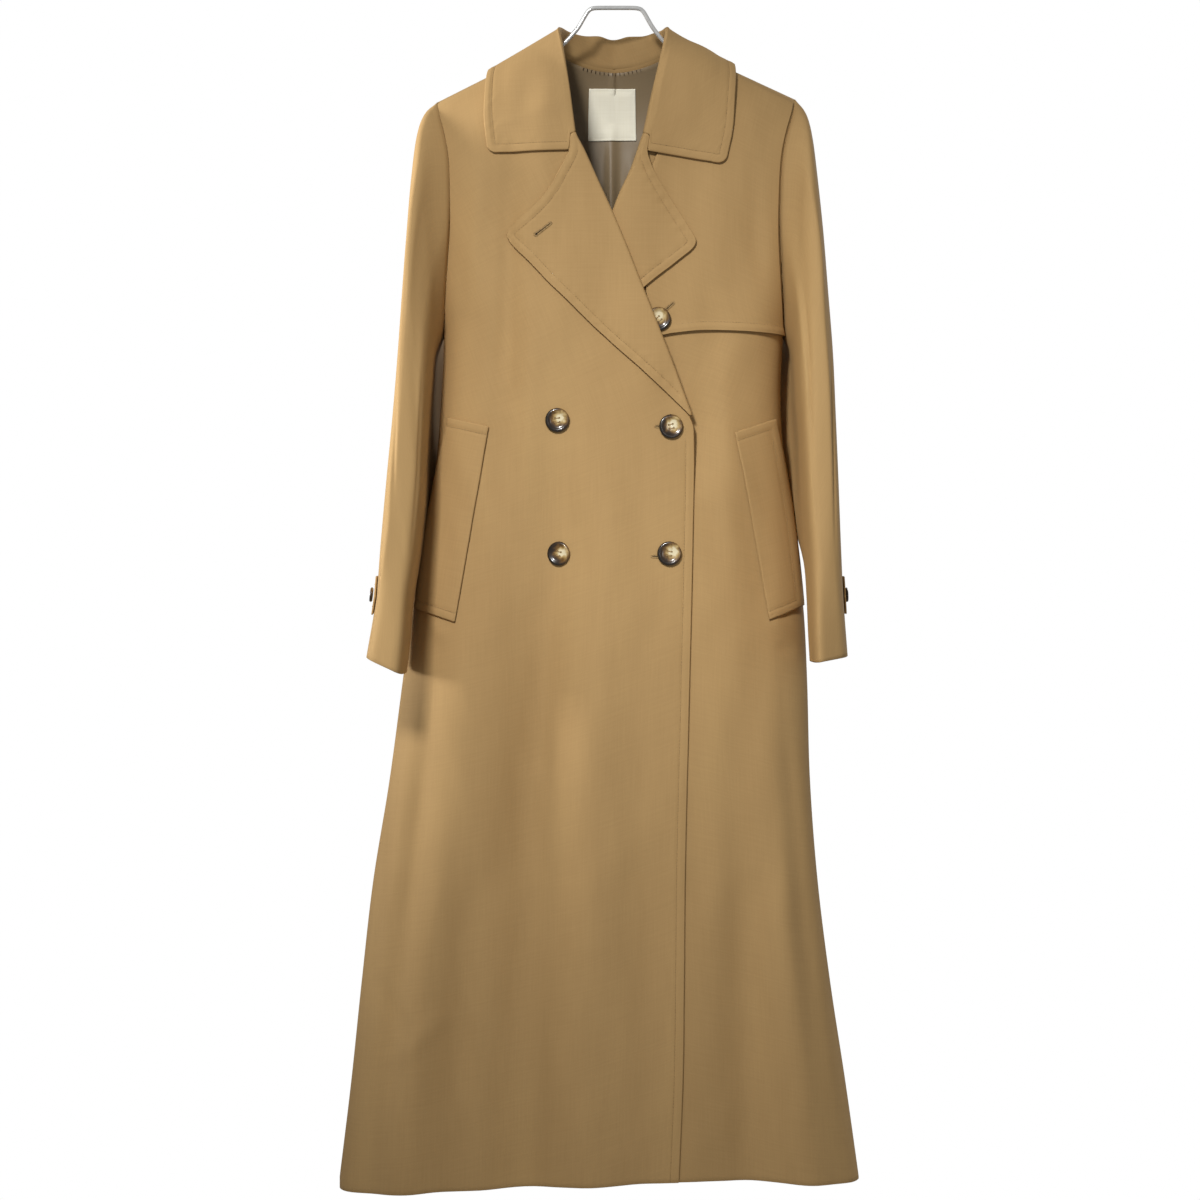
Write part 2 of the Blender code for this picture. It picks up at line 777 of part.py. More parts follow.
def neck_seam(way, side):
    """The place on the panels' neck edge that is sewn to the collar, and the way out of the cloth."""
    if way < 1:
        x = side * NECK_X * way
        return on_coat(x, back_neck_z(x), BACK), outwards(x, back_neck_z(x), BACK)
    z = between(NECK_Z, COLLAR_END_Z, way - 1)
    x = front_edge_x(side, z)
    seat = on_front(side, x, z)
    if way == 1:
        seat.y = 0
    return seat, outwards(x, z, FRONT)


def collar_section(way, side):
    """The collar at one place: its shown side up the stand, over the roll and down the fall, and
    its hidden side as far as the fall."""
    roll, edge = (
        Vector([COLLARS[side].read(f"{line}_{axis}", way) for axis in "xyz"]) for line in ("roll", "edge")
    )
    lift = COLLARS[side].read("lift", way)
    lie = between(TURN_OVER, lapel_lie(side), ease((way - 0.8) / 0.5))
    seat, normal = neck_seam(way, side)
    if way < 2:
        radius = (lie + CLOTH) / 2
        up = (roll - seat).normalized()
        out = (normal - up * normal.dot(up)).normalized()
        centre = roll - up * radius
    else:
        _, up, out, centre, radius = turned_edge(side, COLLAR_END_Z + 0.4)
    start = seat - normal * CLOTH + up * (SEAM + 0.3)
    shown = [start, between(start, centre - out * radius, 0.5)]
    hidden = [start + normal * CLOTH, shown[1] + out * CLOTH]
    for degrees in CURL:
        turn = math.radians(degrees)
        towards = up * math.cos(turn) + out * math.sin(turn)
        shown.append(centre + towards * radius)
        hidden.append(centre + towards * (radius - CLOTH))
    fall_start = shown[-1]
    corner, notch = COLLAR_ENDS[side]
    for part in FALL:
        if way < 2:
            place = between(fall_start, edge, part)
            under = underlap(place.x, place.z) if side > 0 and place.y < 0 else 0.0
            place = clear_of_coat(place, lie + lift * math.sin(math.pi * min(part, 0.75)) - under)
        elif part < KNEE:
            place = on_front(side, *corner, lie)
        else:
            flat = Vector(notch).lerp(edge.xz, (part - KNEE) / (1 - KNEE))
            place = on_front(side, *flat, lie)
        shown.append(place)
    return shown, hidden


def make_collar():
    """The collar has a section at every point of the panels' neck edges, so that both seams match."""
    back_ways = [1 - share for share in NECK_COLUMNS[1:]]
    front_ways = [1 + (NECK_Z - z) / (NECK_Z - COLLAR_END_Z) for _, z in ARMHOLE_ROWS if z >= COLLAR_END_Z]
    ways = sorted(back_ways) + front_ways
    order = [(way, -1) for way in reversed(ways)] + [(0.0, -1)] + [(way, 1) for way in ways]
    sections = [collar_section(way, side) for way, side in order]
    shown = [section for section, _ in sections]
    hidden = behind(shown, CLOTH, flip=True)
    for line, (_, known) in zip(hidden, sections):
        line[: len(known)] = known
    wall("collar", shown, hidden, edge_cloth)


# ---- what lies on the fronts --------------------------------------------------------------------
def patch(name, surface, corners, rows, columns, out, thickness, look, bow=0.0):
    """A four-cornered piece that lies on a surface: corners by (x, z), free edge bent by `bow`."""
    top, low = corners
    shown, hidden = [], []
    for row in range(rows + 1):
        down = row / rows
        start = Vector(top[0]).lerp(Vector(low[0]), down)
        end = Vector(top[1]).lerp(Vector(low[1]), down)
        end = end + (end - start).normalized() * bow * math.sin(math.pi * down)
        line = [start.lerp(end, column / columns) for column in range(columns + 1)]
        shown.append([surface(place.x, place.y, out + thickness) for place in line])
        hidden.append([surface(place.x, place.y, out) for place in line])
    wall(name, shown, hidden, look)


def make_welts():
    for name, surface, welt in (
        ("pocket_welt_right", on_right_front, RIGHT_WELT),
        ("pocket_welt_left", on_left_front, LEFT_WELT),
    ):
        corners = (
            (welt["seam"][0], welt["free"][0]),
            (welt["seam"][1], welt["free"][1]),
        )
        patch(name, surface, corners, 10, 5, REST + 0.5, CLOTH, edge_cloth, bow=WELT_BOW)


def make_storm_flap():
    """The flap is sewn into the shoulder and the armhole; its front edge lies under the lapel."""
    rows = (0, 0.03, 0.08, 0.15, 0.24, 0.35, 0.48, 0.64, 0.82, 1)
    columns = (0, 0.2, 0.4, 0.57, 0.7, 0.8, 0.88, 0.95, 1)
    shown, hidden = [], []
    for down in rows:
        line = []
        for share in columns:
            outer_z = between(shoulder_end_z(1) - 7, -346.0, down)
            inner_z = between(-52.0, -349.5, down)
            outer_x = side_x(max(outer_z, UNDERARM_Z + 0.5), 1) - 3.0
            x = between(FLAP_EDGE.read("x", inner_z), outer_x, share)
            level = between(inner_z, outer_z, share)
            z = between(level, FLAP_LOWER_EDGE.read("z", x), down**4)
            line.append((x, z))
        shown.append([on_left_front(x, z, FLAP_REST + CLOTH) for x, z in line])
        hidden.append([on_left_front(x, z, FLAP_REST) for x, z in line])
    wall("storm_flap", shown, hidden, edge_cloth)


def make_cuff_tabs():
    rows, columns = 5, 8
    for name, side in (("right", -1), ("left", 1)):
        tab = CUFF_TABS[name]
        shown, hidden = [], []
        for row in range(rows + 1):
            down = row / rows
            ring = between(TAB_TOP, TAB_BOTTOM, down)
            reach = tab["to"] + TAB_POINT * (1 - abs(2 * down - 1))
            angles = [between(tab["from"], reach, column / columns) for column in range(columns + 1)]
            shown.append([on_sleeve(ring, angle, side, 0.8 + CLOTH) for angle in angles])
            hidden.append([on_sleeve(ring, angle, side, 0.8) for angle in angles])
        wall("cuff_tab_" + name, shown, hidden, edge_cloth)


# ---- lining and label ---------------------------------------------------------------------------
def on_lining(x, z, out):
    """A point `out` millimetres in from the lining's shown side, which faces the neck hole."""
    pleat = PLEAT_HIGH * math.exp(-(((x - PLEAT_X) / PLEAT_WIDE) ** 2)) * ease((PLEAT_TOP_Z - z) / 60)
    return on_coat(x, z, BACK, -CLOTH - LINING_GAP - LINING - pleat - out)


def make_lining():
    columns = [-1, -0.86, -0.7, -0.54, -0.4, -0.26, -0.14, -0.07, -0.02, 0.03, 0.12, 0.26, 0.4, 0.54, 0.7, 0.86, 1]
    rows = (0, 0.03, 0.08, 0.14, 0.21, 0.3, 0.42, 0.57, 0.77, 1)
    shown, hidden = [], []
    for down in rows:
        line = []
        for share in columns:
            x = share * LINING_HALF_WIDTH
            top = back_neck_z(x) - 3.5 if abs(x) < NECK_X - 8 else shoulder_z(x) - 20
            line.append((x, between(top, LINING_BOTTOM_Z, down)))
        shown.append([on_lining(x, z, 0) for x, z in line])
        hidden.append([on_lining(x, z, -LINING) for x, z in line])
    wall("back_lining", shown, hidden, lining_cloth)


def make_label():
    corners = (
        ((LABEL["left"], LABEL["top"]), (LABEL["right"], LABEL["top"])),
        ((LABEL["left"], LABEL["bottom"]), (LABEL["right"], LABEL["bottom"])),
    )
    patch("neck_label", on_lining, corners, 4, 4, 0.9, LINING, label_cloth)


# ---- buttons ------------------------------------------------------------------------------------
def button_mesh(name, wide, thick, steps):
    """A turned horn button with a raised rim and four holes through its dished middle."""
    half = wide / 2
    profile = (  # distance from the axis and height over the cloth, from the middle of the top down
        (0, thick * 0.62),
        (half * 0.58, thick * 0.62),
        (half * 0.72, thick),
        (half * 0.9, thick),
        (half, thick * 0.55),
        (half * 0.86, 0),
        (0, 0),
    )
    shape = bpy.data.meshes.new(name + "_profile")
    points = [(radius * MM, 0, height * MM) for radius, height in profile]
    shape.from_pydata(points, [(index, index + 1) for index in range(len(points) - 1)], [])
    body = bpy.data.objects.new(name + "_master", shape)
    coat.objects.link(body)
    turn = body.modifiers.new("turned", "SCREW")
    turn.steps = turn.render_steps = steps
    turn.use_merge_vertices = True
    turn.merge_threshold = 0.00001
    turn.use_normal_calculate = True
    for index in range(4):
        angle = math.tau * (index + 0.5) / 4
        place = Vector((math.cos(angle), math.sin(angle), 0)) * half * 0.26
        tool = bmesh.new()
        bmesh.ops.create_cone(
            tool,
            cap_ends=True,
            segments=6,
            radius1=BUTTON_HOLE_WIDE / 2 * MM * wide / BUTTON_WIDE,
            radius2=BUTTON_HOLE_WIDE / 2 * MM * wide / BUTTON_WIDE,
            depth=3 * thick * MM,
        )
        hole = bpy.data.meshes.new(name + "_hole")
        tool.to_mesh(hole)
        tool.free()
        cutter = bpy.data.objects.new(name + "_hole", hole)
        cutter.location = place * MM
        cutter.hide_render = True
        cutter.display_type = "WIRE"
        cutters.objects.link(cutter)
        cut = body.modifiers.new("hole", "BOOLEAN")
        cut.object = cutter
        cut.solver = "EXACT"
    bpy.context.view_layer.update()
    graph = bpy.context.evaluated_depsgraph_get()
    made = bpy.data.meshes.new_from_object(body.evaluated_get(graph))
    bpy.data.objects.remove(body)
    made.name = name
    made.materials.clear()
    made.materials.append(horn)
    return made


def place_button(name, mesh, seat, normal, gap=0.4):
    made = bpy.data.objects.new(name, mesh)
    made.location = (seat + normal * gap) * MM
    made.rotation_euler = normal.to_track_quat("Z", "Y").to_euler()
    coat.objects.link(made)


def make_buttons():
    large = button_mesh("button", BUTTON_WIDE, BUTTON_THICK, 18)
    small = button_mesh("cuff_button", CUFF_BUTTON_WIDE, CUFF_BUTTON_THICK, 12)
    for name, (x, z) in FRONT_BUTTONS.items():
        place_button(name, large, on_right_front(x, z), outwards(x, z, FRONT))
    x, z = FLAP_BUTTON
    seat = on_left_front(x, z, FLAP_REST + CLOTH)
    place_button("button_storm_flap", large, seat, outwards(x, z, FRONT))
    for name, side in (("right", -1), ("left", 1)):
        angle = CUFF_TABS[name]["to"] - 0.28
        ring = (TAB_TOP + TAB_BOTTOM) / 2
        seat = on_sleeve(ring, angle, side, 0.8 + CLOTH)
        normal = (on_sleeve(ring, angle, side, 5) - on_sleeve(ring, angle, side)).normalized()
        place_button("button_cuff_" + name, small, seat, normal, gap=0.9)


# ---- hanger -------------------------------------------------------------------------------------
def make_hanger():
    """One bent wire: a bar to hold it by, two legs and two arms under the shoulder seams."""
    half = WIRE / 2
    route = []
    for side in (-1, 1):
        lean = math.sqrt(1 + SHOULDER_FALL[side] ** 2)
        sunk = (CLOTH + 0.4 + half) * lean
        arm = [Vector((side * x, 0, shoulder_z(side * x) - sunk)) for x in (166, 130, 100, 78, 64)]
        route.append(arm)
    left_leg = [(-58, -41.4), (-53, -37.6), (-45, -29.0), (-38, -21.0), (-32, -10.0), (-28, -3.4)]
    right_leg = [(30.4, -3.4), (34.5, -11.0), (40, -20.5), (46, -28.5), (53, -36.6), (58, -40.8)]
    bar = [(BAR_ENDS[0], BAR_Z), (BAR_ENDS[1], BAR_Z)]
    legs = [Vector((x, 0, z)) for x, z in left_leg + bar + right_leg]
    points = route[0] + legs + list(reversed(route[1]))
    line = bpy.data.curves.new("hanger", "CURVE")
    line.dimensions = "3D"
    line.bevel_depth = half * MM
    line.bevel_resolution = 2
    line.use_fill_caps = True
    spline = line.splines.new("POLY")
    spline.points.add(len(points) - 1)
    for control, point in zip(spline.points, points):
        control.co = (*(point * MM), 1)
    line.materials.append(wire)
    made = bpy.data.objects.new("hanger", line)
    coat.objects.link(made)


# ---- the coat -----------------------------------------------------------------------------------
for leftover in list(bpy.data.objects):
    bpy.data.objects.remove(leftover)
coat = bpy.data.collections.new("trench_coat")
cutters = bpy.data.collections.new("cutters")
bpy.context.scene.collection.children.link(coat)
bpy.context.scene.collection.children.link(cutters)

cloth = material("coat_cloth", COAT_TAN, 0.75)
edge_cloth = material("faced_cloth", COAT_EDGE_TAN, 0.75)
lining_cloth = material("lining", LINING_TAUPE, 0.4)
label_cloth = material("label", LABEL_CREAM, 0.7)
horn = material("horn", HORN_BROWN, 0.2)
wire = material("hanger_wire", WIRE_WHITE, 0.25, 0.6)

make_back()
make_fronts()
make_sleeves()
make_lapels()
make_collar()
make_storm_flap()
make_welts()
make_cuff_tabs()
make_lining()
make_label()
make_buttons()
make_hanger()
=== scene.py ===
"""A long tan double-breasted trench coat on a wire hanger, seen straight from the front.

Sizes are in millimetres until a mesh is made. X runs to the right, Y away from the eye and Z up, from the
middle of the hanger's top bar. Right and left in the names are the wearer's.
"""

import math

import bmesh
import bpy
import numpy as np
from mathutils import Matrix, Vector


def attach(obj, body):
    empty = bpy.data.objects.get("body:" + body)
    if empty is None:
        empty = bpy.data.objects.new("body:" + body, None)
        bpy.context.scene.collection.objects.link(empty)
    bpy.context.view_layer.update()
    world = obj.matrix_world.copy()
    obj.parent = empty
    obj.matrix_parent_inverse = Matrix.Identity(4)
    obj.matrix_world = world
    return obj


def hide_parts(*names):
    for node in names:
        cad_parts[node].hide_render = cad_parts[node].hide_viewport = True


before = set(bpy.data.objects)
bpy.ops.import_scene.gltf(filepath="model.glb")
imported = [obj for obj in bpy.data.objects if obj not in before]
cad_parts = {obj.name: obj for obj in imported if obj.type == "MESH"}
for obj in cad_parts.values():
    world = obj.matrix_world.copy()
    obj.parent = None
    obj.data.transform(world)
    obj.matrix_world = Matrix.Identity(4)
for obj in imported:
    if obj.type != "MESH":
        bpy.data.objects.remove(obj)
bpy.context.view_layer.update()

# ---- camera ---------------------------------------------------------------------------------------
# A long lens level with the waist, square to the coat's front and 3 m away from it.
EYE = (-0.0152, -3.0, -0.6216)
SEEN = 1.26  # metres of the coat's plane from edge to edge of the picture
lens = bpy.data.cameras.new("camera")
lens.sensor_width = 36.0
lens.lens = lens.sensor_width * -EYE[1] / SEEN
camera = bpy.data.objects.new("camera", lens)
camera.location = EYE
camera.rotation_euler = (math.radians(90), 0, 0)
bpy.context.scene.collection.objects.link(camera)
bpy.context.scene.camera = camera

# ---- coat cloth -----------------------------------------------------------------------------------
# Tan wool gabardine: a tight steep twill, pressed smooth, with a faint soft sheen. Its cords are
# 0.6 mm apart, too fine to show from a few steps away, so they are drawn 1.3 mm apart.
MM = 0.001
# Uneven threads, drawn coarser than they are, and broad uneven shades: how many in a metre, each way.
WARP, WEFT, CLOUDS = (610.0, 22.0, 1.0), (20.0, 560.0, 1.0), (13.0, 13.0, 2.6)
CLOUD_WEIGHT = 3.6  # against 1 for the warp and 1 for the weft
TWILL_LEAN = math.radians(27)
CORD_RELIEF = 0.0003  # metres
WAVE_TURN = 20.0  # radians in a metre of the wave texture, at a scale of 1


def colour(text):
    """An sRGB hex colour as linear RGBA."""
    parts = [int(text[place : place + 2], 16) / 255 for place in (1, 3, 5)]
    return (*[part / 12.92 if part <= 0.04045 else ((part + 0.055) / 1.055) ** 2.4 for part in parts], 1)


def finish_of(name):
    """A new material, with its node tree and its surface shader."""
    made = bpy.data.materials.new(name)
    made.use_nodes = True
    return made, made.node_tree, made.node_tree.nodes["Principled BSDF"]


def add(tree, kind, settings=(), inputs=(), steps=()):
    """One node with its settings, and its inputs each from a value or from another node's socket. A
    colour ramp also has steps, each a place from 0 to 1 and its hex colour."""
    node = tree.nodes.new(kind)
    for name, value in dict(settings).items():
        setattr(node, name, value)
    for name, value in dict(inputs).items():
        if isinstance(value, bpy.types.NodeSocket):
            tree.links.new(value, node.inputs[name])
        else:
            node.inputs[name].default_value = value
    for _ in steps[2:]:
        node.color_ramp.elements.new(1.0)
    for number, (place, text) in enumerate(steps):
        element = node.color_ramp.elements[number]
        element.position, element.color = place, colour(text)
    return node


def woven_finish(name, light, middle, dark, cords=1.3, rough=0.8, sheen=0.2, bump=0.08, even=1.6):
    """Twill cloth, read from the piece's own cut. `cords` is their spacing in millimetres, and a
    larger `even` leaves less between the light and the dark shades."""
    made, tree, surface = finish_of(name)
    cut = add(tree, "ShaderNodeUVMap", {"uv_map": "cut"}).outputs["UV"]
    place = add(tree, "ShaderNodeTexCoord").outputs["Object"]
    hung = add(tree, "ShaderNodeMapping", inputs={"Vector": place, "Scale": CLOUDS})
    cloud = add(tree, "ShaderNodeTexNoise", inputs={"Vector": hung.outputs[0], "Scale": 1.0, "Detail": 3.0})
    warp = add(tree, "ShaderNodeMapping", inputs={"Vector": cut, "Scale": WARP})
    warp = add(tree, "ShaderNodeTexNoise", inputs={"Vector": warp.outputs[0], "Scale": 1.0, "Detail": 3.0})
    weft = add(tree, "ShaderNodeMapping", inputs={"Vector": cut, "Scale": WEFT})
    weft = add(tree, "ShaderNodeTexNoise", inputs={"Vector": weft.outputs[0], "Scale": 1.0, "Detail": 3.0})
    threads = add(tree, "ShaderNodeMath", {"operation": "ADD"}, {0: warp.outputs[0], 1: weft.outputs[0]})
    clouded = {0: cloud.outputs[0], 1: CLOUD_WEIGHT, 2: threads.outputs[0]}
    tone = add(tree, "ShaderNodeMath", {"operation": "MULTIPLY_ADD"}, clouded)
    usual = (CLOUD_WEIGHT + 2) / 2  # each noise is a half on average
    centred = {0: tone.outputs[0], 1: usual - even, 2: usual + even}
    centred = add(tree, "ShaderNodeMapRange", inputs=centred)
    shades = [(0, dark), (0.5, middle), (1, light)]
    shade = add(tree, "ShaderNodeValToRGB", inputs={"Fac": centred.outputs[0]}, steps=shades)
    tree.links.new(shade.outputs[0], surface.inputs["Base Color"])
    lean = add(tree, "ShaderNodeMapping", inputs={"Vector": cut, "Rotation": (0, 0, -TWILL_LEAN)})
    scale = math.tau / WAVE_TURN / (cords * MM)
    bands = {"Vector": lean.outputs[0], "Scale": scale, "Distortion": 0.6, "Detail": 1.0}
    twill = add(tree, "ShaderNodeTexWave", {"wave_type": "BANDS", "bands_direction": "X"}, bands)
    woven = {0: twill.outputs["Fac"], 1: 0.7, 2: threads.outputs[0]}
    relief = add(tree, "ShaderNodeMath", {"operation": "MULTIPLY_ADD"}, woven)
    raised = {"Strength": bump, "Distance": CORD_RELIEF, "Height": relief.outputs[0]}
    raised = add(tree, "ShaderNodeBump", inputs=raised)
    tree.links.new(raised.outputs["Normal"], surface.inputs["Normal"])
    surface.inputs["Roughness"].default_value = rough
    surface.inputs["Sheen Weight"].default_value = sheen
    surface.inputs["Sheen Roughness"].default_value = 0.4
    surface.inputs["Sheen Tint"].default_value = colour(light)
    surface.inputs["Specular IOR Level"].default_value = 0.25
    return made


gabardine = woven_finish("wool_gabardine", "#c19e69", "#b39160", "#a58455")

# ---- the coat's shape -----------------------------------------------------------------------------
# The cloth hangs from the hanger's arms and closes at the side seams. Every panel is read from this
# one surface, so that whatever lies on a panel follows it.
FRONT, BACK = -1, 1
SEAM = 0.3  # between two pieces that are sewn together
CLOTH = 2.0  # coat cloth with its facing
REST, FLAP_REST = 1.0, 1.5  # between a panel and what lies on it
TURN_OVER = 4.0  # how high a lapel's or the collar's shown side lies over the coat
NECK_X, NECK_Z, NECK_FALL = 64.0, -38.0, 0.484  # the shoulder line's inner end, and its slope inside it
BACK_NECK_DROP = 17.0  # from the shoulder seams to the middle of the neck hole's back
SHOULDER_FALL = {-1: 0.503, 1: 0.465}  # its slope on the right and on the left
SHOULDER_ROUND = 110.0  # below the shoulder line, where the coat has its full depth
SHOULDER_END_X = {-1: 185.6, 1: 189.0}
UNDERARM_Z, BREAK_Z, HEM_Z = -345.0, -440.0, -1216.0  # the break is where the lapels end
SQUARENESS, SIDE_CLOSE = 2.6, 1.00001  # of the level sections; the panels end just short of the seam
UNDERLAP_TOP, UNDERLAP_LOW = 11.0, 3.2  # behind the lapels, and behind the right front below them


class Table:
    """Rows of sizes under named columns, read on a smooth curve along the first one."""

    def __init__(self, columns, *rows):
        self.columns = columns.split()
        self.rows = np.array(sorted(rows), float)

    def read(self, column, at):
        """The column's size there; on each row the curve has the slope between its neighbours."""
        steps, sizes = self.rows[:, 0], self.rows[:, self.columns.index(column)]
        last = len(steps) - 1
        at = np.clip(at, steps[0], steps[-1])
        low = np.clip(np.searchsorted(steps, at, side="right") - 1, 0, last - 1)
        before, after = np.maximum(np.arange(last + 1) - 1, 0), np.minimum(np.arange(last + 1) + 1, last)
        slopes = (sizes[after] - sizes[before]) / (steps[after] - steps[before])
        span = steps[low + 1] - steps[low]
        part = (at - steps[low]) / span
        turn = part * part * (3 - 2 * part)
        straight = sizes[low] * (1 - turn) + sizes[low + 1] * turn
        bent = slopes[low] * (1 - part) - slopes[low + 1] * part
        return straight + bent * span * part * (1 - part)


# Half widths at -X and at +X, and half depths to the front and the back, of the hanging coat.
BODY = Table(
    "z left right front back",
    (-30, 222, 226, 60, 58),
    (-99, 222, 226, 62, 60),
    (-165, 206, 208, 66, 62),
    (-235, 195, 195, 69, 64),
    (-310, 184, 183, 71, 65),
    (-345, 179, 177, 71, 65),
    (-417, 182, 174, 69, 63),
    (-496, 189, 180, 68, 63),
    (-550, 198, 188, 68, 64),
    (-629, 212, 198, 71, 67),
    (-706, 222, 202, 74, 71),
    (-811, 236, 205, 78, 75),
    (-916, 253, 213, 81, 79),
    (-1021, 265, 226, 84, 83),
    (-1126, 276, 242, 87, 86),
    (-1225, 288, 256, 90, 90),
)
HEM = Table(
    "x z",
    (-290, -1236),
    (-190, -1227),
    (-109, -1223),
    (-40, -1219),
    (65, -1215),
    (140, -1216),
    (205, -1221),
    (258, -1226),
)
ARMHOLE = Table(
    "z share",
    (-99, 0.836),
    (-112, 0.834),
    (-135, 0.829),
    (-165, 0.834),
    (-200, 0.852),
    (-235, 0.874),
    (-270, 0.911),
    (-310, 0.957),
    (-345, 1.0),
)

# The large soft folds of the hanging cloth, which grow to their height over this length.
FOLD_RUN = 420.0
FOLDS = (
    # face, start z, x at the start, x at the hem, half width, height (a trough is below zero)
    (FRONT, -380, -78, -96, 32, -16.2),
    (FRONT, -600, -150, -215, 30, 12.1),
    (FRONT, -430, -10, -20, 34, 9.7),
    (FRONT, -620, 118, 140, 28, -11.0),
    (FRONT, -700, 158, 202, 24, 11.0),
    (BACK, -380, -110, -150, 40, 9.0),
    (BACK, -460, -35, -50, 36, -9.0),
    (BACK, -420, 45, 70, 38, 9.0),
    (BACK, -560, 125, 165, 34, -7.5),
)

# Smaller creases, soft ridges and troughs, each along its own line.
CREASES = (
    # face, x and z at one end, x and z at the other, half width, height (a trough is below zero)
    (FRONT, -106, -145, -112, -430, 12, -6.5),
    (FRONT, -82, -260, -92, -560, 12, 2.9),
    (FRONT, -140, -170, -150, -330, 12, 3.4),
    (FRONT, -60, -470, -75, -800, 17, -4.3),
    (FRONT, -12, -450, 2, -700, 18, 2.8),
    (FRONT, 110, -360, 122, -600, 14, 2.9),
    (FRONT, 88, -370, 84, -520, 10, -2.3),
    (FRONT, 142, -160, 150, -330, 11, -2.8),
    (FRONT, 100, -170, 112, -300, 16, 2.3),
    (FRONT, -185, -690, -238, -1190, 9, -5.0),
    (FRONT, -208, -700, -262, -1200, 8, 4.7),
    (FRONT, -150, -880, -165, -1210, 18, -4.3),
    (FRONT, -235, -1105, -170, -1040, 10, 2.8),
    (FRONT, -245, -1010, -205, -1085, 8, -2.9),
    (FRONT, -25, -980, 8, -1190, 16, -4.0),
    (FRONT, -75, -900, -88, -1205, 20, 4.0),
    (FRONT, 30, -760, 38, -1100, 22, -2.9),
    (FRONT, 105, -700, 112, -1190, 22, 4.3),
    (FRONT, 172, -690, 205, -1100, 9, -4.0),
    (FRONT, 196, -760, 232, -1180, 8, 5.0),
    (FRONT, 186, -660, 160, -640, 5, 2.9),
    (FRONT, 190, -676, 168, -668, 4, -2.8),
    (FRONT, -196, -640, -172, -664, 6, 2.2),
    (BACK, -80, -130, -70, -420, 16, -1.8),
    (BACK, 72, -150, 64, -440, 16, -1.7),
    (BACK, 0, -140, 2, -600, 14, 1.4),
    (BACK, -130, -240, -120, -430, 12, 1.5),
    (BACK, 128, -230, 118, -460, 12, 1.5),
    (BACK, -20, -640, -30, -1200, 20, 2.1),
    (BACK, 92, -700, 110, -1200, 18, -2.1),
    (BACK, -95, -760, -105, -1200, 16, -2.0),
    (BACK, 170, -800, 196, -1200, 14, 2.2),
    (BACK, -190, -820, -220, -1200, 14, -2.0),
)


def ease(part):
    part = np.clip(part, 0.0, 1.0)
    return part * part * (3 - 2 * part)


def blend(start, end, part):
    return start + (end - start) * part


def unit(vectors):
    return vectors / np.maximum(np.linalg.norm(vectors, axis=-1, keepdims=True), 1e-9)


def shoulder_z(x):
    """Height of the shoulder line, which runs on over the neck hole."""
    outside = np.where(np.less(x, 0), SHOULDER_FALL[-1], SHOULDER_FALL[1])
    return NECK_Z - (np.abs(x) - NECK_X) * np.where(np.abs(x) < NECK_X, NECK_FALL, outside)


def fullness(x, z):
    """1 in the middle of the coat and 0 at its sides."""
    half = np.where(x < 0, BODY.read("left", z), BODY.read("right", z))
    base = 1 - (np.abs(x) / half * SIDE_CLOSE) ** SQUARENESS
    return np.copysign(np.abs(base) ** (2 / SQUARENESS), base)


def shoulder_rise(x, z):
    drop = (shoulder_z(x) - z) / SHOULDER_ROUND
    return np.where(drop > 1, 1.0, drop * (2 - drop))


def along_line(x, z, x0, z0, x1, z1, width):
    """1 on a crease's line, fading to its sides and its ends."""
    length = math.hypot(x1 - x0, z1 - z0)
    way = ((x - x0) * (x1 - x0) + (z - z0) * (z1 - z0)) / length**2
    off = ((x - x0) * (z1 - z0) - (z - z0) * (x1 - x0)) / length
    return np.exp(-((off / width) ** 2)) * np.sin(np.pi * np.clip(way, 0, 1)) ** 0.8


BROAD_RIPPLE, FINE_RIPPLE = 1.5, 0.55
FACE_SHIFT = 31.0  # the back ripples as the front does, but this far to the side
SHOULDER_PLAIN = 60.0  # below the shoulder line, where the folds have come in


def ripples(x, z):
    """The slight unevenness of cloth that hangs by its own weight, longer down than across."""
    broad = np.sin(x / 15 + np.sin(z / 90) * 1.7 + 0.6) * np.sin(z / 67 + np.sin(x / 38) + 1.1)
    fine = np.sin(x / 7.5 + np.sin(z / 41) * 2.1) * np.sin(z / 31 + x / 23 + 0.4)
    return BROAD_RIPPLE * broad + FINE_RIPPLE * fine


def folds(x, z, face):
    """How far the folds and creases move the cloth outwards."""
    moved = ripples(x + face * FACE_SHIFT, z)
    for side, start, top_x, hem_x, width, height in FOLDS:
        if side == face:
            line = top_x + (hem_x - top_x) * (start - z) / (start - HEM_Z)
            moved += height * ease((start - z) / FOLD_RUN) * np.exp(-(((x - line) / width) ** 2))
    for side, x0, z0, x1, z1, width, height in CREASES:
        if side == face:
            moved += height * along_line(x, z, x0, z0, x1, z1, width)
    return moved * np.clip(2 * fullness(x, z), 0, 1) * ease((shoulder_z(x) - z) / SHOULDER_PLAIN)


def deepest(z, face):
    return BODY.read("front" if face == FRONT else "back", z)


def depth(x, z, face):
    """Distance of the coat's outer side from the plane through its side and shoulder seams."""
    filled = np.clip(shoulder_rise(x, z) * fullness(x, z), 0, None)
    return deepest(z, face) * np.sqrt(filled) + folds(x, z, face)


def hollow(x, y, z, face):
    """Below zero inside the coat and above zero outside it; y is counted outwards from its middle."""
    flat = (y - folds(x, z, face)) / deepest(z, face)
    return flat * np.abs(flat) - shoulder_rise(x, z) * fullness(x, z)


def slope_of(x, y, z, face):
    step = 0.05
    return np.stack(
        [
            hollow(x + step, y, z, face) - hollow(x - step, y, z, face),
            (hollow(x, y + step, z, face) - hollow(x, y - step, z, face)) * face,
            hollow(x, y, z + step, face) - hollow(x, y, z - step, face),
        ],
        -1,
    ) / (2 * step)


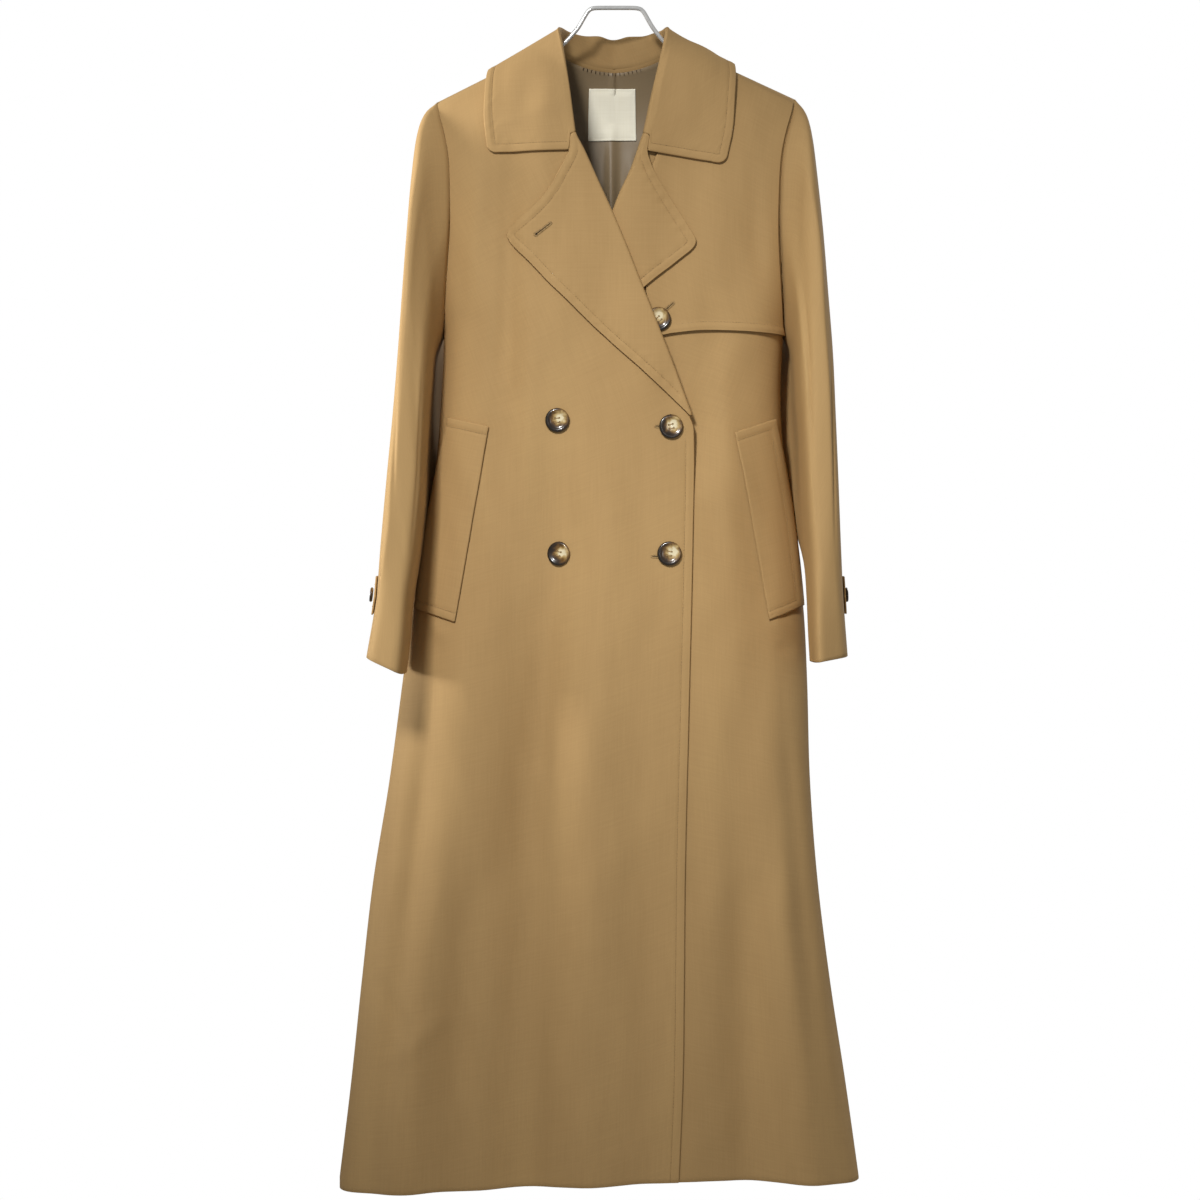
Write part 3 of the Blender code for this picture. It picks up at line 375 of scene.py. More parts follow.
def outwards(x, z, face):
    """Unit vectors out of the cloth; at the side and shoulder seams they have no Y."""
    deep = depth(x, z, face)
    slope = slope_of(x, deep, z, face)
    slope[..., 1] = np.where(deep < 0.5, 0, slope[..., 1])
    return unit(slope)


def on_coat(x, z, face, out=0.0):
    """Points `out` millimetres outside the coat's surface."""
    x, z = np.broadcast_arrays(np.asarray(x, float), np.asarray(z, float))
    place = np.stack([x, face * (depth(x, z, face) + SEAM / 2), z], -1)
    return place + outwards(x, z, face) * np.asarray(out, float)[..., None]


def underlap(x, z):
    """How far the left front lies under the right one and its lapel: it comes in below the neck,
    is thinner where the lapels have ended, and runs out towards the side."""
    deep = blend(UNDERLAP_TOP, UNDERLAP_LOW, ease((-432 - z) / 90))
    return deep * ease((-55 - z) / 130) * ease((168 - x) / 80)


def on_front(side, x, z, out=0.0):
    x, z = np.broadcast_arrays(np.asarray(x, float), np.asarray(z, float))
    return on_coat(x, z, FRONT, np.asarray(out, float) - (underlap(x, z) if side > 0 else 0.0))


def shoulder_end_z(side):
    return float(shoulder_z(side * SHOULDER_END_X[side]))


def side_x(z, side):
    """The panels' outer edge: the armhole, and the side seam below it."""
    width = BODY.read("left" if side < 0 else "right", z)
    return side * width * np.where(np.greater(z, UNDERARM_Z), ARMHOLE.read("share", z), 1.0)


# ---- cut and sewn cloth ---------------------------------------------------------------------------
# Each piece is a thin closed shell with a soft turned edge, on a grid of points that follows its
# grain. Its UV map is its cut, in metres, so that the weave runs with the grain at its own size.
THICK = 1.7
RIM = 0.35  # how far a turned edge bulges, as a share of the thickness
INSIDE_EDGE = 8.4  # from an edge to its topstitching


def grid_normals(grid, ring=False):
    down = np.gradient(grid, axis=0)
    around = (np.roll(grid, -1, 1) - np.roll(grid, 1, 1)) / 2 if ring else np.gradient(grid, axis=1)
    return unit(np.cross(around, down))


def cut_lengths(grid, anchor):
    """Each point's place on the flat cut; `anchor` is the straight column, as a share of the row."""
    across = np.linalg.norm(np.diff(grid, axis=1), axis=-1)
    across = np.concatenate([np.zeros((len(grid), 1)), np.cumsum(across, 1)], 1)
    down = np.linalg.norm(np.diff(grid, axis=0), axis=-1)
    down = np.concatenate([np.zeros((1, grid.shape[1])), np.cumsum(down, 0)], 0)
    return np.stack([across - across[:, -1:] * anchor, -down], -1)


def placed(name, mesh, look):
    mesh.materials.clear()
    mesh.materials.append(look)
    mesh.shade_smooth()
    made = bpy.data.objects.new(name, mesh)
    bpy.context.scene.collection.objects.link(made)
    return made


def mesh_object(name, points, faces, look, uvs=None):
    mesh = bpy.data.meshes.new(name)
    mesh.from_pydata((np.asarray(points) * MM).tolist(), [], faces)
    if uvs is not None:
        corner = np.zeros(len(mesh.loops), np.int32)
        mesh.loops.foreach_get("vertex_index", corner)
        mesh.uv_layers.new(name="cut").data.foreach_set("uv", (uvs * MM)[corner].ravel())
    return placed(name, mesh, look)


def cloth(name, shown, look, hidden=None, thick=THICK, ring=False, flip=False, anchor=0.5, cut=None):
    """A closed shell on a grid of shown points; flip where its rows and columns run the other way."""
    rows, columns = shown.shape[:2]
    if hidden is None:
        hidden = shown - grid_normals(shown, ring) * thick * (-1 if flip else 1)
    flat = (cut_lengths(shown, anchor) if cut is None else cut).reshape(-1, 2)
    points, maps, faces = [shown.reshape(-1, 3), hidden.reshape(-1, 3)], [flat, flat], []
    index = np.arange(rows * columns).reshape(rows, columns)
    wrap = np.concatenate([index, index[:, :1]], 1) if ring else index
    half = rows * columns

    def strip(upper, lower):
        faces.append(np.stack([upper[:-1], upper[1:], lower[1:], lower[:-1]], -1))

    for row in range(rows - 1):
        strip(wrap[row], wrap[row + 1])
    faces.extend([strips[:, ::-1] + half for strips in list(faces)])
    if ring:
        borders = [(wrap[0], wrap[1], False), (wrap[-1], wrap[-2], True)]
    else:
        loop = np.concatenate([index[0], index[1:, -1], index[-1, -2::-1], index[-2::-1, 0]])
        near = index[np.clip(loop // columns, 1, rows - 2), np.clip(loop % columns, 1, columns - 2)]
        borders = [(loop, near, False)]
    # Points midway between the two sides, a little outside them, give each border its soft edge.
    total = 2 * half
    shown_list, middle_list = shown.reshape(-1, 3), (shown + hidden).reshape(-1, 3) / 2
    for edge, near, last in borders:
        count = len(edge) - 1
        away = unit(shown_list[edge[:-1]] - shown_list[near[:-1]])
        points.append(middle_list[edge[:-1]] + away * thick * RIM)
        maps.append(flat[edge[:-1]])
        rim = np.r_[total + np.arange(count), total]
        total += count
        for upper, lower in ((rim, edge), (edge + half, rim)):
            strip(*((lower, upper) if last else (upper, lower)))
    faces = np.concatenate(faces)
    if flip:
        faces = faces[:, ::-1]
    return mesh_object(name, np.concatenate(points), faces.tolist(), look, np.concatenate(maps))


def sewn(piece, slot, *nodes):
    """Every piece of the coat hangs together on the one body, and the solids named with it are hidden."""
    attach(piece, "root")
    if nodes:
        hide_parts(*nodes)


def edge_relief(from_edge, pucker=0.0, along=0.0, deep=0.4):
    """The cloth near a topstitched edge: pulled in `deep` under the stitches, full beside them, and
    rippled by `pucker` along the row."""
    line = -deep * np.exp(-(((from_edge - INSIDE_EDGE) / 1.25) ** 2))
    roll = 0.3 * np.exp(-(((from_edge - 4.4) / 2.4) ** 2))
    waves = np.sin(along / 1.9) + 0.7 * np.sin(along / 3.1 + 1.3) + 0.6 * np.sin(along / 7.7 + 0.4)
    return line + roll + pucker * waves * np.exp(-(((from_edge - INSIDE_EDGE) / 6.5) ** 2))


# ---- fronts and back ------------------------------------------------------------------------------
# The two front panels and the back, cut long and sewn at the shoulders and the sides. The right front
# lies over the left one, and its edge is topstitched from the lapel's end down to the hem.
COLLAR_END_Z, ROLL_END_Z = -141.0, -431.0  # where the roll lines start under the collar, and end
ROLL_LINES = {
    -1: Table(
        "z x",
        (-128, -41.8),
        (-141, -40.0),
        (-160, -30.6),
        (-185, -19.3),
        (-219, -3.9),
        (-258, 12.5),
        (-300, 28.9),
        (-354, 50.4),
        (-394, 65.8),
        (-431, 79.5),
    ),
    1: Table(
        "z x",
        (-128, 32.0),
        (-141, 29.0),
        (-149, 26.0),
        (-177, 15.7),
        (-213, -0.3),
        (-258, -18.0),
        (-300, -34.5),
        (-354, -55.5),
        (-394, -71.0),
        (-431, -85.0),
    ),
}
NECK_EDGES = {
    -1: Table("z x", (-38, -64.0), (-56, -60.5), (-80, -55.0), (-110, -49.6), (-141, -44.9)),
    1: Table("z x", (-38, 64.0), (-56, 58.5), (-80, 50.5), (-110, 42.8), (-141, 35.6)),
}
FRONT_EDGES = {
    -1: Table(
        "z x",
        (-431, 75.8),
        (-446, 81.0),
        (-561, 79.8),
        (-718, 76.0),
        (-888, 71.8),
        (-1106, 69.0),
        (-1217, 64.7),
    ),
    1: Table("z x", (-431, -79.7), (-446, -85.0), (-640, -81.0), (-888, -77.0), (-1217, -70.0)),
}
# Close to the front edge the columns of points keep these distances from it, for its topstitching.
NEAR_EDGE = np.array([14.5, 12.5, 11.0, 10.0, 9.2, 8.4, 7.6, 6.6, 5.2, 3.6, 2.0, 0.8, 0.0])
NEAR_WIDTH = 17.0


def lapel_lie(side):
    """The storm flap lies between the left front and its lapel."""
    return TURN_OVER if side < 0 else TURN_OVER + REST + CLOTH


def turned_edge(side, z):
    """Sections of the turned cloth where the roll line is at height z: the panel's edge, the ways
    into the opening and out of the cloth, the section's centre and its radius."""
    roll, lie = ROLL_LINES[side], lapel_lie(side)
    radius = (lie + CLOTH) / 2
    lean = roll.read("x", z - 2) - roll.read("x", z + 2)
    towards = unit(np.stack([np.full_like(lean, -4.0), -lean], -1)) * side
    place = np.stack([roll.read("x", z), z], -1)
    edge = place - towards * (radius + 0.4)
    seat = on_front(side, edge[..., 0], edge[..., 1])
    normal = unit(on_front(side, edge[..., 0], edge[..., 1], 1) - seat)
    ahead = unit(on_front(side, place[..., 0], place[..., 1]) - seat)
    return edge, ahead, normal, seat + ahead * 0.4 + normal * (lie - CLOTH) / 2, radius


def front_edge_x(side, z):
    """The panel's front edge: the neck seam, a line just inside the lapel's roll, the edge below.

    The roll's sections lean, so the one that meets the edge at each height is found step by step."""
    wanted = np.clip(z, ROLL_END_Z, COLLAR_END_Z)
    at = wanted
    for _ in range(3):
        edge = turned_edge(side, at)[0]
        at = at + wanted - edge[..., 1]
    plain = np.where(z >= COLLAR_END_Z, NECK_EDGES[side].read("x", z), FRONT_EDGES[side].read("x", z))
    return np.where((z < COLLAR_END_Z) & (z > ROLL_END_Z), edge[..., 0], plain)


UPPER_ROWS, LOWER_ROWS = 82, 157  # rows of points above and below the break


def side_heights(side, edge_z):
    """Where rows that meet the front edge at these heights meet the armhole or the side seam."""
    knots = (-NECK_Z, 340, -BREAK_Z)
    return -np.interp(-edge_z, knots, (-shoulder_end_z(side), -UNDERARM_Z, -BREAK_Z))


def hem_row_z(x, part):
    """Height at x of the row that is a share of the way from the break to the hem."""
    return blend(BREAK_Z, HEM.read("z", x), part)


def side_end(part, side):
    """X of such a row's end at the side seam."""
    x = side_x(BREAK_Z, side)
    for _ in range(6):
        x = side_x(hem_row_z(x, part), side)
    return x


def front_places(side):
    """X and Z of a front's points, in rows from the shoulder to the hem, and its front edge."""
    edge_z = np.linspace(NECK_Z, BREAK_Z, UPPER_ROWS)
    side_z = side_heights(side, edge_z)
    part = np.linspace(0, 1, LOWER_ROWS)[1:]
    all_edge_z = np.concatenate([edge_z, blend(BREAK_Z, HEM_Z, part)])
    left = np.concatenate([side_x(side_z, side), side_end(part, side)])[:, None]
    right = front_edge_x(side, all_edge_z)[:, None]
    wide = np.abs(right - left)
    turn = 1 - np.cos(np.linspace(0, math.pi / 2, 52))
    share = np.concatenate([turn * (1 - NEAR_WIDTH / wide), 1 - NEAR_EDGE / wide], 1)
    x = blend(left, right, share)
    upper = blend(side_z[:, None], edge_z[:, None], share[:UPPER_ROWS])
    return x, np.concatenate([upper, hem_row_z(x[UPPER_ROWS:], part[:, None])]), right


for name, side, flat, area in (
    ("front_right", -1, (0.42, 1.21), 0.355),
    ("front_left", 1, (0.40, 1.21), 0.335),
):
    x, z, edge_x = front_places(side)
    stitched = ease((-452 - z) / 14) if side < 0 else 0.0
    relief = edge_relief(np.abs(edge_x - x), 0.07, z) * stitched
    under = on_front(side, x, z, -THICK)
    panel = cloth(name, on_front(side, x, z, relief), gabardine, under, flip=side < 0, anchor=1.0)
    sewn(panel, "coat_cloth", name)


def back_neck_z(x):
    """The back of the neck hole, from the shoulder seams down to its middle."""
    return NECK_Z - BACK_NECK_DROP * (1 - (x / NECK_X) ** 2)


# The back's columns are closer together towards its sides, and each starts from its place at the top.
turn = 1 - np.cos(np.linspace(0, math.pi / 2, 26))
left_tops = blend(-SHOULDER_END_X[-1], -NECK_X, turn)
right_tops = blend(SHOULDER_END_X[1], NECK_X, turn)[::-1]
tops = np.concatenate([left_tops, np.linspace(-NECK_X, NECK_X, 27)[1:-1], right_tops])
shares = (tops - tops[0]) / (tops[-1] - tops[0])
row_edges = np.linspace(NECK_Z, BREAK_Z, UPPER_ROWS)
left_z, right_z = side_heights(-1, row_edges)[:, None], side_heights(1, row_edges)[:, None]
top_z = np.where(np.abs(tops) < NECK_X, back_neck_z(tops), shoulder_z(tops))
left_part = (left_z - shoulder_end_z(-1)) / (BREAK_Z - shoulder_end_z(-1))
right_part = (right_z - shoulder_end_z(1)) / (BREAK_Z - shoulder_end_z(1))
x = blend(side_x(left_z, -1), side_x(right_z, 1), shares)
z = blend(top_z, BREAK_Z, np.where(tops < 0, left_part, right_part))
part = np.linspace(0, 1, LOWER_ROWS)[1:, None]
low_x = blend(side_end(part, -1), side_end(part, 1), shares)
x, z = np.concatenate([x, low_x]), np.concatenate([z, hem_row_z(low_x, part)])
back = cloth("back", on_coat(x, z, BACK), gabardine, on_coat(x, z, BACK, -THICK))
sewn(back, "coat_cloth", "back")

# ---- sleeves --------------------------------------------------------------------------------------
# Sleeves set into the armholes, empty and hanging a little forward, with soft bends where the arm
# would be and plain open cuffs. Each ring's row has the places of its outer and its inner side, the
# middle and the half of its depth, and how far it keeps to the armhole's seam.
SLEEVES = {
    -1: Table(
        "ring out_x out_z in_x in_z middle half keep",
        (0, 185.6, -99, 179.0, -345, 0, 46, 1.0),
        (1, 198.5, -113, 187.0, -366, -3, 56, 0.6),
        (2, 206.0, -138, 189.5, -392, -6, 66, 0.3),
        (3, 211.0, -185, 191.3, -418, -10, 73, 0.1),
        (4, 214.8, -240, 193.0, -448, -16, 75, 0),
        (5, 218.9, -300, 194.6, -482, -23, 74, 0),
        (6, 223.0, -365, 195.8, -517, -32, 72, 0),
        (7, 227.7, -430, 198.8, -552, -43, 68, 0),
        (8, 233.1, -495, 202.5, -587, -56, 64, 0),
        (9, 238.0, -560, 207.5, -623, -69, 61, 0),
        (10, 242.5, -620, 210.0, -660, -78, 59, 0),
        (11, 252.0, -679, 213.5, -696, -84, 57, 0),
    ),
    1: Table(
        "ring out_x out_z in_x in_z middle half keep",
        (0, 189.0, -96, 177.0, -345, 0, 46, 1.0),
        (1, 200.0, -112, 184.5, -366, -3, 56, 0.6),
        (2, 206.0, -138, 186.5, -392, -6, 66, 0.3),
        (3, 211.0, -185, 187.8, -418, -10, 73, 0.1),
        (4, 215.9, -240, 190.0, -448, -16, 75, 0),
        (5, 220.3, -300, 191.5, -482, -23, 74, 0),
        (6, 224.8, -365, 193.1, -517, -32, 72, 0),
        (7, 227.0, -430, 195.0, -552, -43, 68, 0),
        (8, 228.8, -495, 197.0, -587, -56, 64, 0),
        (9, 230.3, -560, 198.0, -623, -69, 61, 0),
        (10, 232.5, -620, 198.5, -655, -78, 59, 0),
        (11, 236.5, -678, 199.5, -684, -84, 57, 0),
    ),
}
LAST_RING = 11
ACROSS_POWER, AHEAD_POWER = 0.42, 0.52  # below 1 for sections with flat sides and round corners
SLEEVE_LEAN = {-1: 0.35, 1: 0.85}  # how far the flat front of each sleeve turns outwards
TUCKS = {  # how far the inner back of each sleeve swings in behind the body
    -1: Table("ring in", (0, 0), (1, 5), (2, 13), (3, 17), (4, 17), (5, 15), (6, 11), (7, 4), (8, 0)),
    1: Table("ring in", (0, 0), (1, 7), (2, 17), (3, 22), (4, 22), (5, 20), (6, 16), (7, 8), (8, 1), (9, 0)),
}
SLEEVE_CREASES = (
    # side, ring and angle at one end, ring and angle at the other, half width in mm, height;
    # the angle is 0 on the outer side and a quarter turn in front
    (-1, 1.2, 1.45, 6.0, 1.7, 6, -1.4),
    (-1, 2.2, 0.9, 7.0, 1.1, 9, 1.8),
    (-1, 3.5, 1.9, 8.0, 2.1, 8, -1.0),
    (-1, 5.5, 0.7, 8.5, 1.6, 8, -1.8),
    (-1, 8.0, 1.5, 10.4, 1.0, 8, 0.8),
    (-1, 2.0, -1.4, 6.0, -1.2, 10, -1.2),
    (-1, 6.0, -1.8, 9.5, -1.3, 9, 1.0),
    (1, 1.0, 1.62, 5.4, 1.75, 5, -4.5),
    (1, 3.0, 1.35, 9.0, 1.5, 8, 2.4),
    (1, 1.5, 1.15, 5.0, 1.2, 7, 1.2),
    (1, 4.0, 1.9, 8.0, 1.7, 8, -1.1),
    (1, 5.5, 1.0, 9.0, 1.4, 8, -1.8),
    (1, 7.5, 1.9, 10.2, 1.3, 8, 0.9),
    (1, 2.0, -1.3, 6.5, -1.5, 10, -1.2),
    (1, 6.0, -1.2, 9.5, -1.7, 9, 1.0),
)
TURN_MM, RING_MM = 60.0, 55.0  # a sleeve's length round it for each radian, and along it for each ring


def signed_power(base, power):
    return np.copysign(np.abs(base) ** power, base)


def armhole_point(angle, side):
    """Points of the armhole's seam, and the ways out of the cloth there."""
    top = shoulder_end_z(side)
    z = (top + UNDERARM_Z) / 2 + (top - UNDERARM_Z) / 2 * np.cos(angle)
    x = side_x(np.maximum(z, UNDERARM_Z + 0.001), side)
    ahead = (np.sin(angle) >= 0)[..., None]
    seat = np.where(ahead, on_coat(x, z, FRONT), on_coat(x, z, BACK))
    return seat, np.where(ahead, outwards(x, z, FRONT), outwards(x, z, BACK))


def ring_point(ring, angle, side):
    sizes = SLEEVES[side]
    outer = np.stack([side * sizes.read("out_x", ring), 0 * ring, sizes.read("out_z", ring)], -1)
    inner = np.stack([side * sizes.read("in_x", ring), 0 * ring, sizes.read("in_z", ring)], -1)
    along = signed_power(np.cos(angle), ACROSS_POWER)[..., None]
    place = (outer + inner) / 2 + (outer - inner) / 2 * along
    ahead = signed_power(np.sin(angle), AHEAD_POWER)
    place[..., 1] = sizes.read("middle", ring) - sizes.read("half", ring) * ahead
    place[..., 1] += (outer - inner)[..., 0] * side / 2 * along[..., 0] * SLEEVE_LEAN[side]
    inner_back = np.maximum(0, -np.cos(angle)) * np.maximum(0, -np.sin(angle)) * 2
    place[..., 0] -= side * TUCKS[side].read("in", ring) * inner_back**1.4
    return place


def on_sleeve(ring, angle, side, out=0.0):
    """Points on a sleeve, `out` millimetres outside its cloth."""
    ring, angle = np.broadcast_arrays(np.asarray(ring, float), np.asarray(angle, float))

    def plain(ring, angle):
        keep = np.maximum(0.0, SLEEVES[side].read("keep", ring))[..., None]
        seam, _ = armhole_point(angle, side)
        return ring_point(ring, angle, side) + (seam - ring_point(0 * ring, angle, side)) * keep

    place, step = plain(ring, angle), 0.02
    around = plain(ring, angle + step) - plain(ring, angle - step)
    down = plain(np.minimum(ring + step, LAST_RING), angle) - plain(np.maximum(ring - step, 0), angle)
    creased = np.zeros(ring.shape)
    turn = (angle + math.pi) % math.tau - math.pi
    for own, *ends, width, height in SLEEVE_CREASES:
        if own == side:
            ring0, angle0, ring1, angle1 = ends
            line = (angle0 * TURN_MM, ring0 * RING_MM, angle1 * TURN_MM, ring1 * RING_MM)
            creased += height * along_line(turn * TURN_MM, ring * RING_MM, *line, width)
    return place + unit(np.cross(around, down)) * side * (np.asarray(out, float) + creased)[..., None]


def into_armhole(angle, side):
    """The way from the panel's edge at the armhole into the hole, along the panel."""
    step = 0.01
    ahead, before = armhole_point(angle + step, side)[0], armhole_point(angle - step, side)[0]
    return unit(np.cross(ahead - before, armhole_point(angle, side)[1])) * -side


SLEEVE_ROWS, SLEEVE_COLUMNS = 118, 96
angles = np.linspace(0, math.tau, SLEEVE_COLUMNS + 1)[:-1]
for name, side, area in (("sleeve_right", -1, 0.155), ("sleeve_left", 1, 0.153)):
    steps = np.arange(LAST_RING + 1)
    line = np.stack([SLEEVES[side].read("out_x", steps), SLEEVES[side].read("out_z", steps)], -1)
    length = np.r_[0, np.cumsum(np.linalg.norm(np.diff(line, axis=0), axis=1))]
    rings = np.interp(np.linspace(0, length[-1], SLEEVE_ROWS), length, steps)[:, None]
    shown, hidden = on_sleeve(rings, angles, side), on_sleeve(rings, angles, side, -THICK)
    away = into_armhole(angles, side)
    normal = unit(shown[0] - hidden[0])
    normal = unit(normal - away * np.maximum(0.0, np.sum(normal * away, -1, keepdims=True)))
    shown[0] = shown[0] + away * SEAM
    hidden[0] = shown[0] - normal * THICK
    sleeve = cloth(name, shown, gabardine, hidden, ring=True, flip=side < 0, anchor=0.0)
    sewn(sleeve, "coat_cloth", name)

# ---- lapels ---------------------------------------------------------------------------------------
# Wide pointed lapels of the same cloth, faced and turned back along their roll lines, with a line of
# topstitching inside the edge that puckers them a little.
RIGHT_LAPEL = (
    # share of the roll line, x, z
    (0.0, -45.3, -144.0),
    (0.03, -45.8, -151.5),
    (0.062, -46.3, -160.4),
    (0.085, -50.5, -169.0),
    (0.115, -56.0, -179.0),
    (0.145, -64.6, -195.2),
    (0.18, -75.8, -210.6),
    (0.215, -90.0, -224.2),
    (0.245, -108.5, -240.6),
    (0.26, -111.8, -245.4),
    (0.285, -108.5, -251.2),
    (0.37, -90.0, -271.0),
    (0.47, -69.5, -293.6),
    (0.67, -20.3, -342.0),
    (0.85, 28.9, -386.0),
    (1.0, 70.5, -425.4),
)
LEFT_LAPEL = (
    (0.0, 35.5, -144.3),
    (0.03, 34.4, -152.0),
    (0.062, 33.0, -160.2),
    (0.085, 36.4, -169.5),
    (0.115, 40.4, -179.0),
    (0.14, 47.6, -192.0),
    (0.175, 59.8, -212.4),
    (0.215, 73.0, -233.8),
    (0.25, 82.6, -249.4),
    (0.27, 83.4, -254.2),
    (0.3, 79.2, -260.6),
    (0.35, 66.9, -270.2),
    (0.44, 47.4, -285.6),
    (0.55, 28.9, -300.5),
    (0.78, -18.0, -354.0),
    (1.0, -66.0, -424.0),
)
LAPEL_TOP_Z = -141.4  # just below the collar's end
ROW_END = 3.0  # from a lapel's topstitching to its roll line
CURL = np.radians(np.linspace(-90, 90, 13))  # the turned cloth's section
FLAT = 1 - (1 - np.linspace(0, 1, 34)[1:]) ** 1.6  # shares of the way from the roll to the outline


def even_line(knots, spacing, softer):
    """A line through the knots with evenly spaced points, its corners rounded `softer` times."""
    knots = np.array(knots, float)
    length = np.r_[0, np.cumsum(np.linalg.norm(np.diff(knots[:, -2:], axis=0), axis=1))]
    at = np.linspace(0, length[-1], int(length[-1] / spacing) + 1)
    line = np.stack([np.interp(at, length, column) for column in knots.T], -1)
    for _ in range(softer):
        line[1:-1] = (line[:-2] + 2 * line[1:-1] + line[2:]) / 4
    return line


def to_line(x, z, line):
    """Each place's distance to a line, and how far along the line its nearest point is."""
    start, step = line[:-1], np.diff(line, axis=0)
    length = np.linalg.norm(step, axis=1)
    run = np.r_[0, np.cumsum(length)][:-1]
    place = np.stack([np.ravel(x), np.ravel(z)], -1)[:, None, :]
    part = np.clip(np.sum((place - start) * step, -1) / length**2, 0, 1)
    gap = np.linalg.norm(place - start - step * part[..., None], axis=-1)
    best = np.argmin(gap, 1)
    rows = np.arange(len(best))
    shape = np.shape(x)
    return gap[rows, best].reshape(shape), (run[best] + part[rows, best] * length[best]).reshape(shape)


def inset(line, distance):
    """The line moved sideways, without the loops that this makes inside its corners."""
    way = unit(np.gradient(line, axis=0))
    moved = line + np.stack([way[:, 1], -way[:, 0]], -1) * distance
    return moved[to_line(moved[:, 0], moved[:, 1], line)[0] > abs(distance) * 0.985]


stitch_lines = []  # every row of topstitching on the coat, as points in space
for name, side, knots, flat, area, pucker in (
    ("lapel_right", -1, RIGHT_LAPEL, (0.12, 0.34), 0.0205, 0.12),
    ("lapel_left", 1, LEFT_LAPEL, (0.12, 0.32), 0.0175, 0.2),
):
    outline = even_line(knots, 2.2, 3)
    share, end = outline[:, 0], outline[:, 1:]
    edge, ahead, normal, centre, radius = turned_edge(side, blend(LAPEL_TOP_Z, ROLL_END_Z, share))
    lie = lapel_lie(side)
    turned = ahead[:, None] * np.cos(CURL)[:, None] + normal[:, None] * np.sin(CURL)[:, None]
    place = blend(edge[:, None], end[:, None], FLAT[:, None])
    x, z = place[..., 0], place[..., 1]
    from_edge, along = to_line(x, z, end)
    relief = edge_relief(from_edge, pucker, along, deep=0.5) * ease(FLAT / 0.2)
    shown = np.concatenate([centre[:, None] + turned * radius, on_front(side, x, z, lie + relief)], 1)
    hidden = [centre[:, None] + turned * (radius - THICK), on_front(side, x, z, lie - THICK)]
    hidden = np.concatenate(hidden, 1)
    lapel = cloth(name, shown, gabardine, hidden, flip=side > 0, cut=shown[..., [0, 2]])
    sewn(lapel, "coat_cloth", name)
    row = inset(end, INSIDE_EDGE * side)
    inner = np.interp(-row[:, 1], -edge[:, 1], edge[:, 0])
    row = row[(row[:, 0] - inner) * side > ROW_END]
    stitch_lines.append(on_front(side, row[:, 0], row[:, 1], lie - 0.3))

# The right front's edge is stitched from the lapel's end to the hem.
z = np.arange(-446, -1214, -2.5)
stitch_lines.append(on_front(-1, FRONT_EDGES[-1].read("x", z) - INSIDE_EDGE, z, -0.2))

# ---- collar ---------------------------------------------------------------------------------------
# A wide pointed collar on a stand: sewn to the neck edges, turned over its roll and laid on the
# shoulders. Its free edges are topstitched. The way round the neck is 0 in the middle of the back, 1 at
# the shoulder seam and 2 at the front end. The lift is how far the fall bulges on its way to the edge.
COLLARS = {
    -1: Table(
        "way roll_x roll_y roll_z edge_x edge_y edge_z lift",
        (0.0, 0, 57.0, -21.0, 0, 66.0, -106.0, 0.5),
        (0.53, -31, 50.0, -20.0, -64, 63.0, -108.0, 1.0),
        (0.87, -51.5, 27.0, -18.5, -114, 40.0, -97.0, 3.0),
        (1.0, -58, 0.0, -19.0, -130, 0.0, -62.0, 4.0),
        (1.18, -54, -33.0, -43.0, -134, -36.0, -90.0, 3.0),
        (1.61, -46.4, -55.0, -92.0, -134, -50.0, -128.0, 1.0),
        (2.0, -40.4, -64.0, -140.4, -130, -60.0, -161.0, 0.0),
    ),
    1: Table(
        "way roll_x roll_y roll_z edge_x edge_y edge_z lift",
        (0.0, 0, 57.0, -21.0, 0, 66.0, -106.0, 0.5),
        (0.53, 31, 50.0, -20.0, 62, 63.0, -108.0, 1.0),
        (0.87, 51.5, 27.0, -18.5, 108, 40.0, -97.0, 3.0),
        (1.0, 54.5, 0.0, -19.0, 122, 0.0, -60.0, 5.0),
        (1.18, 50.5, -33.0, -43.0, 122.5, -38.0, -94.0, 4.5),
        (1.61, 39, -55.0, -94.0, 120, -50.0, -135.0, 1.0),
        (2.0, 29.6, -66.0, -140.2, 114, -60.0, -172.0, 0.0),
    ),
}
COLLAR_ENDS = {-1: ((-46.0, -142.6), (-46.9, -159.2)), 1: ((36.4, -142.9), (33.9, -159.0))}
KNEE, CORNER = 0.16, 0.07  # where the front ends' outline turns, as shares of the way to the edge
LAST_BUT_ONE = 1.718  # the way from which the sections are blended into the end's
STAND = np.linspace(0, 1, 7)[:-1]
FALL = np.r_[np.linspace(0, 0.8, 25)[1:], np.linspace(0.8, 1, 15)[1:]]
FALL_START = len(STAND) + len(CURL)


def clear_of_coat(place, gap):
    """The places, moved outwards until they are `gap` outside the coat."""
    for _ in range(4):
        x, y, z = np.moveaxis(place, -1, 0)
        ahead = y < 0
        near = np.where(ahead, hollow(x, -y, z, FRONT), hollow(x, y, z, BACK))
        slope = np.where(ahead[..., None], slope_of(x, -y, z, FRONT), slope_of(x, y, z, BACK))
        near = near / np.linalg.norm(slope, axis=-1)
        place = place + unit(slope) * np.maximum(gap - near, 0)[..., None]
    return place


